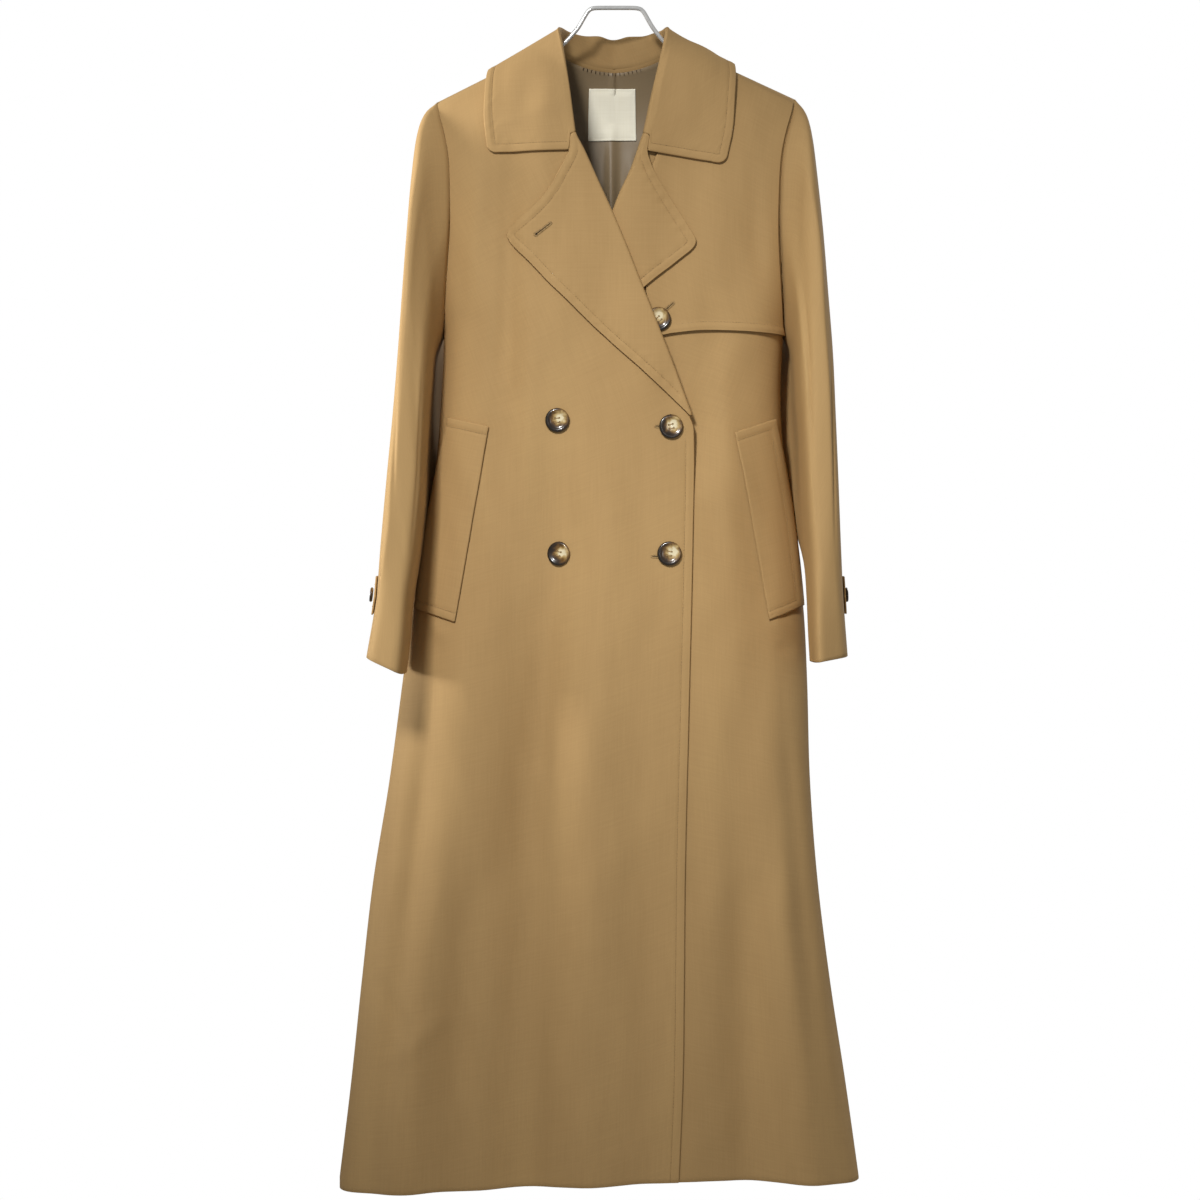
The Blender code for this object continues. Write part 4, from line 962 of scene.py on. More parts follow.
def neck_seam(way, side):
    """Places on the panels' neck edge that is sewn to the collar, and the ways out of the cloth."""
    back_x = side * NECK_X * np.minimum(way, 1)
    back_z = back_neck_z(back_x)
    behind, behind_out = on_coat(back_x, back_z, BACK), outwards(back_x, back_z, BACK)
    z = blend(NECK_Z, COLLAR_END_Z, np.maximum(way - 1, 0))
    x = front_edge_x(side, z)
    before, before_out = on_front(side, x, z), outwards(x, z, FRONT)
    choose = (way < 1)[:, None]
    return np.where(choose, behind, before), np.where(choose, behind_out, before_out)


def collar_sections(way, side, end=False):
    """The collar's shown side at these places round the neck: stand, roll and fall."""
    sizes = COLLARS[side]
    roll = np.stack([sizes.read("roll_" + axis, way) for axis in "xyz"], -1)
    edge = np.stack([sizes.read("edge_" + axis, way) for axis in "xyz"], -1)
    lie = blend(TURN_OVER, lapel_lie(side), ease((way - 0.8) / 0.5))
    seat, normal = neck_seam(way, side)
    if end:
        _, up, out, centre, radius = turned_edge(side, np.full_like(way, COLLAR_END_Z + 0.4))
        radius = np.full_like(way, radius)
    else:
        radius = (lie + CLOTH) / 2
        up = unit(roll - seat)
        out = unit(normal - up * np.sum(normal * up, -1, keepdims=True))
        centre = roll - up * radius[:, None]
    start = seat - normal * CLOTH + up * (SEAM + 0.3)
    stand = blend(start[:, None], (centre - out * radius[:, None])[:, None], STAND[:, None])
    curl = up[:, None] * np.cos(CURL)[:, None] + out[:, None] * np.sin(CURL)[:, None]
    curl = centre[:, None] + curl * radius[:, None, None]
    if end:
        knots = [curl[0, -1][[0, 2]], COLLAR_ENDS[side][0], COLLAR_ENDS[side][1], edge[0][[0, 2]]]
        x, z = (np.interp(FALL, (0, CORNER, KNEE, 1), line) for line in np.array(knots).T)
        fall = on_front(side, x, z, lie[0])[None]
    else:
        fall = blend(curl[:, -1:], edge[:, None], FALL[:, None])
        under = underlap(fall[..., 0], fall[..., 2]) * (fall[..., 1] < 0) if side > 0 else 0.0
        lift = sizes.read("lift", way)[:, None] * np.sin(np.pi * np.minimum(FALL, 0.75))
        fall = clear_of_coat(fall, lie[:, None] + lift - under)
    return np.concatenate([stand, curl, fall], 1)


# Each half runs from the middle of the back to the front end. The joined sections are then evened out.
halves = []
for side in (-1, 1):
    ways = np.r_[np.linspace(0, 1, 24), np.linspace(1, LAST_BUT_ONE, 28)[1:]]
    plain = collar_sections(ways, side)
    last = collar_sections(np.array([2.0]), side, end=True)
    part = np.linspace(0, 1, 24)[1:, None, None]
    halves.append(np.concatenate([plain, blend(plain[-1:], last, part)]))
shown = np.concatenate([halves[0][:0:-1], halves[1]])
for _ in range(3):
    shown[1:-1] = (shown[:-2] + 2 * shown[1:-1] + shown[2:]) / 4

# The two front corners are rounded off, and the cloth follows its topstitching. Behind the neck the
# stand and the roll are a little crumpled, and the roll has one dip and one rise beside its middle.
CORNER_ROUND = 8.0
run = np.linalg.norm(np.diff(shown, axis=0), axis=-1)
run = np.concatenate([np.zeros((1, shown.shape[1])), np.cumsum(run, 0)])
from_end = np.minimum(run, run[-1:] - run)
drop = np.linalg.norm(np.diff(shown, axis=1), axis=-1)
drop = np.concatenate([np.zeros((len(shown), 1)), np.cumsum(drop, 1)], 1)
from_edge = drop[:, -1:] - drop
normals = -grid_normals(shown)
to_end = unit(np.gradient(shown, axis=0)) * np.where(run < run[-1:] / 2, -1, 1)[..., None]
to_edge = unit(np.gradient(shown, axis=1))
# `u` and `v` grow from 0 to 1 over the corner's round, towards the front end and the free edge.
u = np.clip(1 - from_end / CORNER_ROUND, 0, 1)
v = np.clip(1 - from_edge / CORNER_ROUND, 0, 1)
pull_in = (u * np.sqrt(1 - v * v / 2) - u)[..., None] * to_end
pull_up = (v * np.sqrt(1 - u * u / 2) - v)[..., None] * to_edge
pull = pull_in + pull_up
# `behind` is 1 on the cloth behind the neck, and 0 in front, at the seam and at the free edge.
behind = ease((shown[..., 1] - 18) / 22) * ease(drop / 14) * ease((from_edge - 10) / 30)
across = shown[..., 0]
crumple = np.sin(across / 5.3 + drop / 9 + 0.8) * 0.8 + np.sin(across / 9.1 - drop / 13) * 0.9
shown = shown + normals * (crumple * behind)[..., None]
dip = 2.6 * np.exp(-(((across + 6) / 7) ** 2))
rise = 1.5 * np.exp(-(((across - 12) / 6) ** 2))
waves = 0.5 * np.sin(across / 4.1)
on_roll = np.exp(-(((drop - 22) / 20) ** 2))
shown[..., 2] -= (dip - rise + waves) * behind * on_roll
on_fall = ease((drop - drop[:, FALL_START : FALL_START + 1]) / 12)
relief = edge_relief(np.minimum(from_end, from_edge), 0.1, run + drop) * on_fall
shown = shown + pull * CORNER_ROUND + normals * relief[..., None]
collar = cloth("collar", shown, gabardine, flip=True)
sewn(collar, "coat_cloth", "collar")


def at_distance(lines, distances, wanted):
    """Where each line of points passes a distance."""
    found = []
    for line, gap in zip(lines, distances):
        order = np.argsort(gap)
        found.append([np.interp(wanted, gap[order], line[order, axis]) for axis in range(3)])
    return np.array(found)


lifted = shown + normals * 0.15  # where the thread lies
outer_row = at_distance(lifted[:, FALL_START:], from_edge[:, FALL_START:], INSIDE_EDGE)
outer_row = outer_row[from_end[:, -8] >= INSIDE_EDGE]
half = len(shown) // 2
ends = []
for part, tip in ((slice(0, half), 0), (slice(half, None), -1)):
    reach = from_edge[tip] >= INSIDE_EDGE
    reach[: FALL_START + 4] = False  # the row stops short of the roll
    ends.append(at_distance(lifted[part].swapaxes(0, 1), from_end[part].T, INSIDE_EDGE)[reach])
stitch_lines.append(np.concatenate([ends[0], outer_row, ends[1][::-1]]))

# ---- storm flap -----------------------------------------------------------------------------------
# A loose layer over the left chest, sewn into the shoulder and the armhole. Its lower edge hangs free
# and is topstitched, and its front edge lies under the lapel.
FLAP_EDGE = Table(
    "z x",
    (-44, 82.0),
    (-90, 66.0),
    (-141, 52.0),
    (-190, 34.0),
    (-250, 30.0),
    (-310, 38.0),
    (-350, 48.4),
)
FLAP_LOWER_EDGE = Table("x z", (48, -349.5), (60, -347.0), (98, -343.6), (146, -344.6), (178, -346.0))
FLAP_TOP_Z, FLAP_DOWN = -52.0, 7.0  # its inner top corner; the outer one's distance from the shoulder
FLAP_IN = 3.0  # how far it ends inside the armhole
FLAP_LIFT = 1.2  # how far its free edge stands off
inner_low, outer_low = FLAP_LOWER_EDGE.rows[[0, -1], 1]
# Its rows and columns are closer together at the lower edge and at the armhole.
down = np.r_[np.linspace(0, 0.93, 54), np.linspace(0.93, 1, 18)[1:]][:, None]
share = np.sin(np.linspace(0, math.pi / 2, 44))
outer_z = blend(shoulder_end_z(1) - FLAP_DOWN, outer_low, down)
inner_z = blend(FLAP_TOP_Z, inner_low, down)
outer_x = side_x(np.maximum(outer_z, UNDERARM_Z + 0.5), 1) - FLAP_IN
x = blend(FLAP_EDGE.read("x", inner_z), outer_x, share)
z = blend(blend(inner_z, outer_z, share), FLAP_LOWER_EDGE.read("z", x), down**4)
from_edge = z - FLAP_LOWER_EDGE.read("z", x)
lift = FLAP_LIFT * np.exp(-((from_edge / 9) ** 2))
relief = edge_relief(from_edge, 0.1, x)
shown = on_front(1, x, z, FLAP_REST + THICK + lift + relief)
flap = cloth("storm_flap", shown, gabardine, on_front(1, x, z, FLAP_REST + lift), anchor=1.0)
sewn(flap, "coat_cloth", "storm_flap")
x = np.arange(52, 173, 2.5)
z = FLAP_LOWER_EDGE.read("z", x) + INSIDE_EDGE
stitch_lines.append(on_front(1, x, z, FLAP_REST + THICK + 0.2))

# ---- pocket welts ---------------------------------------------------------------------------------
# Slanted pockets with broad stitched welts. Each is sewn in along its inner edge and fixed at both
# ends, and its outer edge stands free with a slight bow.
WELT_BOW = 3.0
WELT_OUT, WELT_UNDER = REST + 0.5 + THICK, REST + 0.3  # how far its two sides lie over the front
WELT_LIFT = 0.9  # how much further its free edge stands off
near_end = np.linspace(0, 0.07, 11)
down = np.r_[near_end, np.linspace(0.07, 0.93, 62)[1:-1], 1 - near_end[::-1]][:, None, None]
across = np.linspace(0, 1, 26)[:, None]
for name, side, top, low in (
    # the corners at the seam and at the free edge, as x and z, first at the top
    ("pocket_welt_right", -1, ((-130.0, -443.0), (-171.0, -433.0)), ((-164.5, -644.0), (-206.0, -630.0))),
    ("pocket_welt_left", 1, ((125.8, -449.0), (166.0, -434.0)), ((159.2, -642.0), (195.0, -627.0))),
):
    top, low = np.array(top), np.array(low)
    start, end = blend(top[0], low[0], down), blend(top[1], low[1], down)
    end = end + unit(end - start) * WELT_BOW * np.sin(math.pi * down)
    place = blend(start, end, across)
    x, z = place[..., 0], place[..., 1]
    length = np.linalg.norm(top[1] - low[1])
    from_end = np.minimum(down[..., 0], 1 - down[..., 0]) * length + 0 * x
    from_free = np.linalg.norm(end - place, axis=-1)
    from_stitched = np.minimum(from_end, from_free) if side > 0 else from_end
    relief = edge_relief(from_stitched, 0.06, x + z)
    lift = WELT_LIFT * np.exp(-((from_free / 8) ** 2)) * np.sin(math.pi * down[..., 0]) ** 0.5
    shown = on_front(side, x, z, WELT_OUT + relief + lift)
    welt = cloth(name, shown, gabardine, on_front(side, x, z, WELT_UNDER + lift), flip=side > 0)
    sewn(welt, "coat_cloth", name)
    out = WELT_OUT - 0.1
    for part in (INSIDE_EDGE / length, 1 - INSIDE_EDGE / length):
        seam_end, free_end = blend(top[0], low[0], part), blend(top[1], low[1], part)
        row = blend(seam_end, free_end, np.linspace(0.04, 0.96, 20)[:, None])
        stitch_lines.append(on_front(side, row[:, 0], row[:, 1], out))
    if side > 0:
        row = end[12:-12, 0] + unit(start[12:-12, 0] - end[12:-12, 0]) * INSIDE_EDGE
        stitch_lines.append(on_front(side, row[:, 0], row[:, 1], out))

# ---- cuff tabs ------------------------------------------------------------------------------------
# A short pointed tab of the coat's cloth on the outer side of each cuff. It starts in the sleeve's
# back seam, and its point is held by one small button.
CUFF_TABS = {-1: (-1.15, 0.55), 1: (-1.15, 0.3)}  # from the back seam to the point's corners, as angles
TAB_TOP, TAB_BOTTOM, TAB_POINT = 9.62, 10.26, 0.18  # in rings and, for the point's length, an angle
TAB_REST = 0.9
down = np.linspace(0, 1, 22)[:, None]
for name, side, long in (("cuff_tab_right", -1, 0.115), ("cuff_tab_left", 1, 0.098)):
    ring = blend(TAB_TOP, TAB_BOTTOM, down)
    reach = CUFF_TABS[side][1] + TAB_POINT * (1 - np.abs(2 * down - 1))
    angle = blend(CUFF_TABS[side][0], reach, np.linspace(0, 1, 46))
    shown = on_sleeve(ring, angle, side, TAB_REST + THICK)
    hidden = on_sleeve(ring, angle, side, TAB_REST)
    tab = cloth(name, shown, gabardine, hidden, flip=side < 0)
    sewn(tab, "coat_cloth", name)
    for inner in (0.2, 0.8):
        row = np.linspace(CUFF_TABS[side][0] + 0.05, CUFF_TABS[side][1] - 0.02, 40)
        ring = blend(TAB_TOP, TAB_BOTTOM, inner)
        stitch_lines.append(on_sleeve(ring, row, side, TAB_REST + THICK + 0.05))

# ---- lining and neck label ------------------------------------------------------------------------
# Taupe satin lines the back, with a soft pleat down its middle for ease. It is woven smooth, so it has
# more of a sheen than the coat. The label sewn on under the neck seam is a bare cream ribbon, dull.
LINING, LINING_GAP = 1.0, 1.3  # its thickness, and its distance from the back
LINING_HALF_WIDTH, LINING_BOTTOM_Z = 150.0, -385.0
LINING_NECK_X = NECK_X - 8  # where its top edge leaves the neck seam for the shoulder
LINING_SEAM, LINING_SHOULDER = 3.5, 20.0  # how far its top edge lies below each of them
LABEL = {"left": -27.5, "right": 23.6, "top": -75.0, "bottom": -130.5}
LINING_FOLDS = (
    # x and z at one end, x and z at the other, half width, height towards the eye
    (-1, -50, -2, -82, 3.0, 2.6),
    (-3, -112, -4, -390, 5.0, 6.5),
    (-22, -135, -30, -330, 6.0, 2.7),
    (18, -140, 30, -350, 6.0, 3.1),
    (-40, -90, -52, -300, 8.0, 2.2),
    (38, -90, 50, -300, 8.0, 2.0),
    (6, -150, 10, -380, 4.5, -2.2),
)
satin = woven_finish("taupe_satin", "#8c7a60", "#857358", "#7a6950", 0.9, 0.42, 0.35, 0.05, 3.0)


def on_lining(x, z, out):
    """Points `out` millimetres in from the lining's shown side, which faces the neck hole."""
    moved = 0.0
    for *line, height in LINING_FOLDS:
        moved = moved + height * along_line(x, z, *line)
    return on_coat(x, z, BACK, -CLOTH - LINING_GAP - LINING - moved - out)


x = np.linspace(-1, 1, 120) * LINING_HALF_WIDTH
top = np.where(np.abs(x) < LINING_NECK_X, back_neck_z(x) - LINING_SEAM, shoulder_z(x) - LINING_SHOULDER)
z = blend(top, LINING_BOTTOM_Z, np.linspace(0, 1, 80)[:, None])
x = x + 0 * z
lining = cloth("back_lining", on_lining(x, z, 0.0), satin, on_lining(x, z, -0.7), 0.7, flip=True)
sewn(lining, "lining_cloth", "back_lining")

label_weave = woven_finish("label_ribbon", "#fdf9ea", "#f8f3df", "#ece5cc", 0.8, 0.55, 0.2, 0.08)
LABEL_OUT, LABEL_BULGE = 1.6, 0.8  # over the lining at its edge, and higher in its middle
LABEL_TURN = 2.2  # from its edge to the stitched line of its turned edge
z = np.linspace(LABEL["top"], LABEL["bottom"], 46)[:, None]
x, z = np.broadcast_arrays(np.linspace(LABEL["left"], LABEL["right"], 44), z)
from_side = np.minimum(x - LABEL["left"], LABEL["right"] - x)
from_side = np.minimum(from_side, np.minimum(LABEL["top"] - z, z - LABEL["bottom"]))
bulge = LABEL_OUT + LABEL_BULGE * ease(from_side / 9)
bulge -= 0.2 * np.exp(-(((from_side - LABEL_TURN) / 0.7) ** 2))
shown, hidden = on_lining(x, z, bulge), on_lining(x, z, bulge - 0.6)
label = cloth("neck_label", shown, label_weave, hidden, 0.6, flip=True)
sewn(label, "label_cloth", "neck_label")

# ---- topstitching ---------------------------------------------------------------------------------
# Rows of tan polyester thread, three stitches to the centimetre, sunk a little in the cloth. The
# twisted thread has a little shine, and is painted darker where its relief sinks between its strands:
# painted shade.
thread_finish, tree, surface = finish_of("polyester_thread")
place = add(tree, "ShaderNodeTexCoord").outputs["Object"]
twist = add(tree, "ShaderNodeTexNoise", inputs={"Vector": place, "Scale": 900.0, "Detail": 2.0}).outputs[0]
# painted shade: where the twist's relief is low, between the strands, the colour is darker
strands = [(0.35, "#92754a"), (0.65, "#b0915f")]
strands = add(tree, "ShaderNodeValToRGB", inputs={"Fac": twist}, steps=strands)
tree.links.new(strands.outputs[0], surface.inputs["Base Color"])
raised = add(tree, "ShaderNodeBump", inputs={"Strength": 0.3, "Distance": 0.0001, "Height": twist})
tree.links.new(raised.outputs["Normal"], surface.inputs["Normal"])
surface.inputs["Roughness"].default_value = 0.55

stitch_row = bpy.data.node_groups.new("stitch_row", "GeometryNodeTree")
for name, kind, way in (
    ("Row", "NodeSocketGeometry", "INPUT"),
    ("Pitch", "NodeSocketFloat", "INPUT"),
    ("Length", "NodeSocketFloat", "INPUT"),
    ("Thickness", "NodeSocketFloat", "INPUT"),
    ("Across", "NodeSocketFloat", "INPUT"),
    ("Stitches", "NodeSocketGeometry", "OUTPUT"),
):
    stitch_row.interface.new_socket(name, in_out=way, socket_type=kind)
given = add(stitch_row, "NodeGroupInput").outputs
points = {"Curve": given["Row"], "Length": given["Pitch"]}
points = add(stitch_row, "GeometryNodeResampleCurve", {"mode": "LENGTH"}, points)
tangent = add(stitch_row, "GeometryNodeInputTangent").outputs[0]
aligned = add(stitch_row, "FunctionNodeAlignRotationToVector", {"axis": "X"}, {"Vector": tangent})
STITCH_TURN = 0.09  # each stitch lies up to this far off its line, in radians
spread = add(stitch_row, "FunctionNodeRandomValue", {"data_type": "FLOAT"})
for socket in spread.inputs:
    if socket.type == "VALUE" and socket.name in ("Min", "Max"):
        socket.default_value = STITCH_TURN if socket.name == "Max" else -STITCH_TURN
    if socket.name == "Seed":
        socket.default_value = 4
wobble = [socket for socket in spread.outputs if socket.type == "VALUE"][0]
turn = add(stitch_row, "ShaderNodeMath", {"operation": "ADD"}, {0: given["Across"], 1: wobble})
crossed = {"Axis": (0, 1, 0), "Angle": turn.outputs[0]}
crossed = add(stitch_row, "FunctionNodeAxisAngleToRotation", inputs=crossed)
crossing = {"Rotation": aligned.outputs[0], "Rotate By": crossed.outputs[0]}
crossing = add(stitch_row, "FunctionNodeRotateRotation", {"rotation_space": "GLOBAL"}, crossing)
ball = add(stitch_row, "GeometryNodeMeshIcoSphere", inputs={"Radius": 0.5, "Subdivisions": 2})
size = {"X": given["Length"], "Y": given["Thickness"], "Z": given["Thickness"]}
size = add(stitch_row, "ShaderNodeCombineXYZ", inputs=size)
row = {"Points": points.outputs[0], "Instance": ball.outputs["Mesh"], "Rotation": crossing.outputs[0]}
row["Scale"] = size.outputs[0]
row = add(stitch_row, "GeometryNodeInstanceOnPoints", inputs=row)
real = add(stitch_row, "GeometryNodeRealizeInstances", inputs={"Geometry": row.outputs[0]})
smooth = add(stitch_row, "GeometryNodeSetShadeSmooth", inputs={"Geometry": real.outputs[0]})
finished = {"Geometry": smooth.outputs[0], "Material": thread_finish}
finished = add(stitch_row, "GeometryNodeSetMaterial", inputs=finished)
add(stitch_row, "NodeGroupOutput", inputs={"Stitches": finished.outputs[0]})
sockets = stitch_row.interface.items_tree
STITCH_INPUTS = {socket.name: socket.identifier for socket in sockets if socket.in_out == "INPUT"}


def stitches(name, lines, closed=False, slot="coat_cloth", **sizes):
    """Stitches along lines in space, as one plain mesh; the sizes are in metres and radians."""
    curve = bpy.data.curves.new(name + "_lines", "CURVE")
    curve.dimensions = "3D"
    for line in lines:
        spline = curve.splines.new("POLY")
        spline.points.add(len(line) - 1)
        spline.points.foreach_set("co", np.c_[line * MM, np.ones(len(line))].ravel())
        spline.use_cyclic_u = closed
    guide = bpy.data.objects.new(name + "_lines", curve)
    bpy.context.scene.collection.objects.link(guide)
    making = guide.modifiers.new("stitches", "NODES")
    making.node_group = stitch_row
    for key, value in sizes.items():
        making[STITCH_INPUTS[key]] = value
    bpy.context.view_layer.update()
    mesh = bpy.data.meshes.new_from_object(guide.evaluated_get(bpy.context.evaluated_depsgraph_get()))
    bpy.data.objects.remove(guide)
    mesh.name = name
    made = placed(name, mesh, thread_finish)
    sewn(made, slot)
    return made


stitches("topstitching", stitch_lines, Pitch=0.0031, Length=0.0027, Thickness=0.00062, Across=0.0)

# The lining is felled to the collar's stand by hand, in short upright stitches of brown silk, which
# shines a little more than the tan thread.
silk, tree, surface = finish_of("brown_silk_thread")
place = add(tree, "ShaderNodeTexCoord").outputs["Object"]
twist = add(tree, "ShaderNodeTexNoise", inputs={"Vector": place, "Scale": 900.0, "Detail": 2.0}).outputs[0]
strands = [(0.3, "#3f2f1d"), (0.7, "#5d4629")]
strands = add(tree, "ShaderNodeValToRGB", inputs={"Fac": twist}, steps=strands)
tree.links.new(strands.outputs[0], surface.inputs["Base Color"])
surface.inputs["Roughness"].default_value = 0.4
FELLING_SEAM = 4.6  # from the neck seam to its middle
x = np.arange(-34, 30, 1.5)  # what shows of the seam between the collar's two sides
felling = stitches(
    "felling_stitches",
    [on_lining(x, back_neck_z(x) - FELLING_SEAM, 0.4)],
    slot="lining_cloth",
    Pitch=0.0046,
    Length=0.0042,
    Thickness=0.0009,
    Across=math.pi / 2,
)
felling.data.materials[0] = silk

# ---- buttonholes ----------------------------------------------------------------------------------
# Keyhole buttonholes worked in close satin stitch round a slit, in the coat's own tan. The slit is
# dark and dull, as cloth in its own shadow is.
slit_shadow, tree, surface = finish_of("slit_shadow")
surface.inputs["Base Color"].default_value = colour("#2a1d10")
surface.inputs["Roughness"].default_value = 0.9
BUTTONHOLES = (
    # side, x and z of the keyhole's eye, x and z of the other end, how far out the cloth lies there
    (-1, -80.5, -246.6, -65.5, -235.4, TURN_OVER),
    (-1, 57.0, -443.5, 42.0, -443.5, 0.0),
    (-1, 54.0, -577.0, 38.5, -577.0, 0.0),
    (1, 49.0, -327.0, 60.5, -316.0, FLAP_REST + THICK),
)


def closed_solid(piece):
    """A closed piece with its faces turned outwards."""
    shape = bmesh.new()
    shape.from_mesh(piece.data)
    bmesh.ops.recalc_face_normals(shape, faces=shape.faces)
    shape.to_mesh(piece.data)
    shape.free()
    return piece


EYE_HALF, END_HALF = 1.9, 1.1  # half widths of the stitched outline at its eye and at its other end
SLIT_SHARE = (0.98, 0.62)  # the slit's length and width inside that outline
SLIT_TOP, SLIT_LOW, HOLE_STITCH = 0.12, -0.3, 0.15  # how far out of the cloth the slit and the thread lie
hole_rows = []
for number, (side, eye_x, eye_z, end_x, end_z, out) in enumerate(BUTTONHOLES):
    length = math.hypot(end_x - eye_x, end_z - eye_z)
    ahead = np.array([end_x - eye_x, end_z - eye_z]) / length
    beside = np.array([-ahead[1], ahead[0]])
    eye_turn, end_turn = np.radians(np.linspace(40, 320, 12)), np.radians(np.linspace(-80, 80, 7))
    eye = np.stack([np.cos(eye_turn), np.sin(eye_turn)], -1) * EYE_HALF
    far = np.stack([length + np.cos(end_turn) * END_HALF, np.sin(end_turn) * END_HALF], -1)
    slit = np.concatenate([eye, far])
    flat = np.array([eye_x, eye_z]) + slit[:, :1] * ahead + slit[:, 1:] * beside
    hole_rows.append(on_front(side, flat[:, 0], flat[:, 1], out + HOLE_STITCH))
    slit = slit * SLIT_SHARE
    flat = np.array([eye_x, eye_z]) + slit[:, :1] * ahead + slit[:, 1:] * beside
    top, low = (on_front(side, flat[:, 0], flat[:, 1], out + lift) for lift in (SLIT_TOP, SLIT_LOW))
    count = len(flat)
    faces = [list(range(count)), list(range(2 * count - 1, count - 1, -1))]
    faces += [[at, at + count, (at + 1) % count + count, (at + 1) % count] for at in range(count)]
    opening = mesh_object(f"buttonhole_slit_{number}", np.concatenate([top, low]), faces, slit_shadow)
    sewn(closed_solid(opening), "coat_cloth")
stitches(
    "buttonhole_thread", hole_rows, True, Pitch=0.00062, Length=0.0021, Thickness=0.0007, Across=math.pi / 2
)

# ---- buttons --------------------------------------------------------------------------------------
# Turned horn buttons, 25 mm on the fronts and 15 mm on the cuffs, each sewn on through four holes with
# tan thread. Polished horn is glossy, with a dark rim and a mottled amber middle. Part of that is painted
# light: the rings are centred off to one side, so the cream there is a painted highlight and the rim on
# the other side is painted shade.
LARGE, SMALL = (25.0, 3.6), (15.0, 3.0)  # width and thickness
horn, tree, surface = finish_of("polished_horn")
face_map = add(tree, "ShaderNodeUVMap", {"uv_map": "turning"}).outputs["UV"]
place = add(tree, "ShaderNodeTexCoord").outputs["Object"]
mottle = {"Vector": place, "Scale": 95.0, "Detail": 5.0, "Distortion": 1.2}
mottle = add(tree, "ShaderNodeTexNoise", inputs=mottle).outputs[0]
# The rings' middle is set off to one side: the cream there is a painted highlight, and the far side of the
# rim is painted shade.
from_painted_highlight = add(tree, "ShaderNodeVectorMath", {"operation": "ADD"}, {0: face_map, 1: (-0.24, -0.16, 0)})
radius = add(tree, "ShaderNodeVectorMath", {"operation": "LENGTH"}, {0: from_painted_highlight.outputs[0]}).outputs["Value"]
horn_rings_and_painted_light = add(tree, "ShaderNodeMath", {"operation": "MULTIPLY_ADD"}, {0: mottle, 1: 0.8, 2: radius})
horn_rings_and_painted_light = add(tree, "ShaderNodeMath", {"operation": "MULTIPLY"}, {0: horn_rings_and_painted_light.outputs[0], 1: 0.5})
bands = [(0.34, "#e8dbb6"), (0.43, "#bda068"), (0.52, "#735428"), (0.62, "#38281a"), (0.76, "#1a130b")]
bands = add(tree, "ShaderNodeValToRGB", inputs={"Fac": horn_rings_and_painted_light.outputs[0]}, steps=bands)
tree.links.new(bands.outputs[0], surface.inputs["Base Color"])
surface.inputs["Roughness"].default_value = 0.28
surface.inputs["Coat Weight"].default_value = 0.6
surface.inputs["Coat Roughness"].default_value = 0.08
surface.inputs["IOR"].default_value = 1.54
BUTTON_PROFILE = (
    # distance from the axis and height over the cloth, as shares, from the middle of the top down
    (0, 0.56),
    (0.3, 0.56),
    (0.55, 0.6),
    (0.66, 0.72),
    (0.74, 0.92),
    (0.82, 1.0),
    (0.9, 0.96),
    (0.97, 0.78),
    (1.0, 0.55),
    (0.96, 0.25),
    (0.84, 0.03),
    (0.5, 0.0),
    (0, 0.0),
)
HOLES_OUT = 0.24  # from the axis to the holes, as a share of the button's half width
HOLE_RADIUS = 0.042  # as a share of its whole width
THREAD_APART, THREAD_OUT = 0.2, 0.6  # two threads either side of a line; their height, as a share


def in_one_order(cut, name):
    """A cut mesh with its points and faces sorted, because the cut orders them anew each run."""
    places = [tuple(round(size, 5) for size in point.co) for point in cut.vertices]
    order = sorted(range(len(places)), key=places.__getitem__)
    rank = {old: new for new, old in enumerate(order)}
    faces = [[rank[index] for index in face.vertices] for face in cut.polygons]
    faces = sorted(face[face.index(min(face)) :] + face[: face.index(min(face))] for face in faces)
    mesh = bpy.data.meshes.new(name)
    mesh.from_pydata([places[old] for old in order], [], faces)
    bpy.data.meshes.remove(cut)
    return mesh


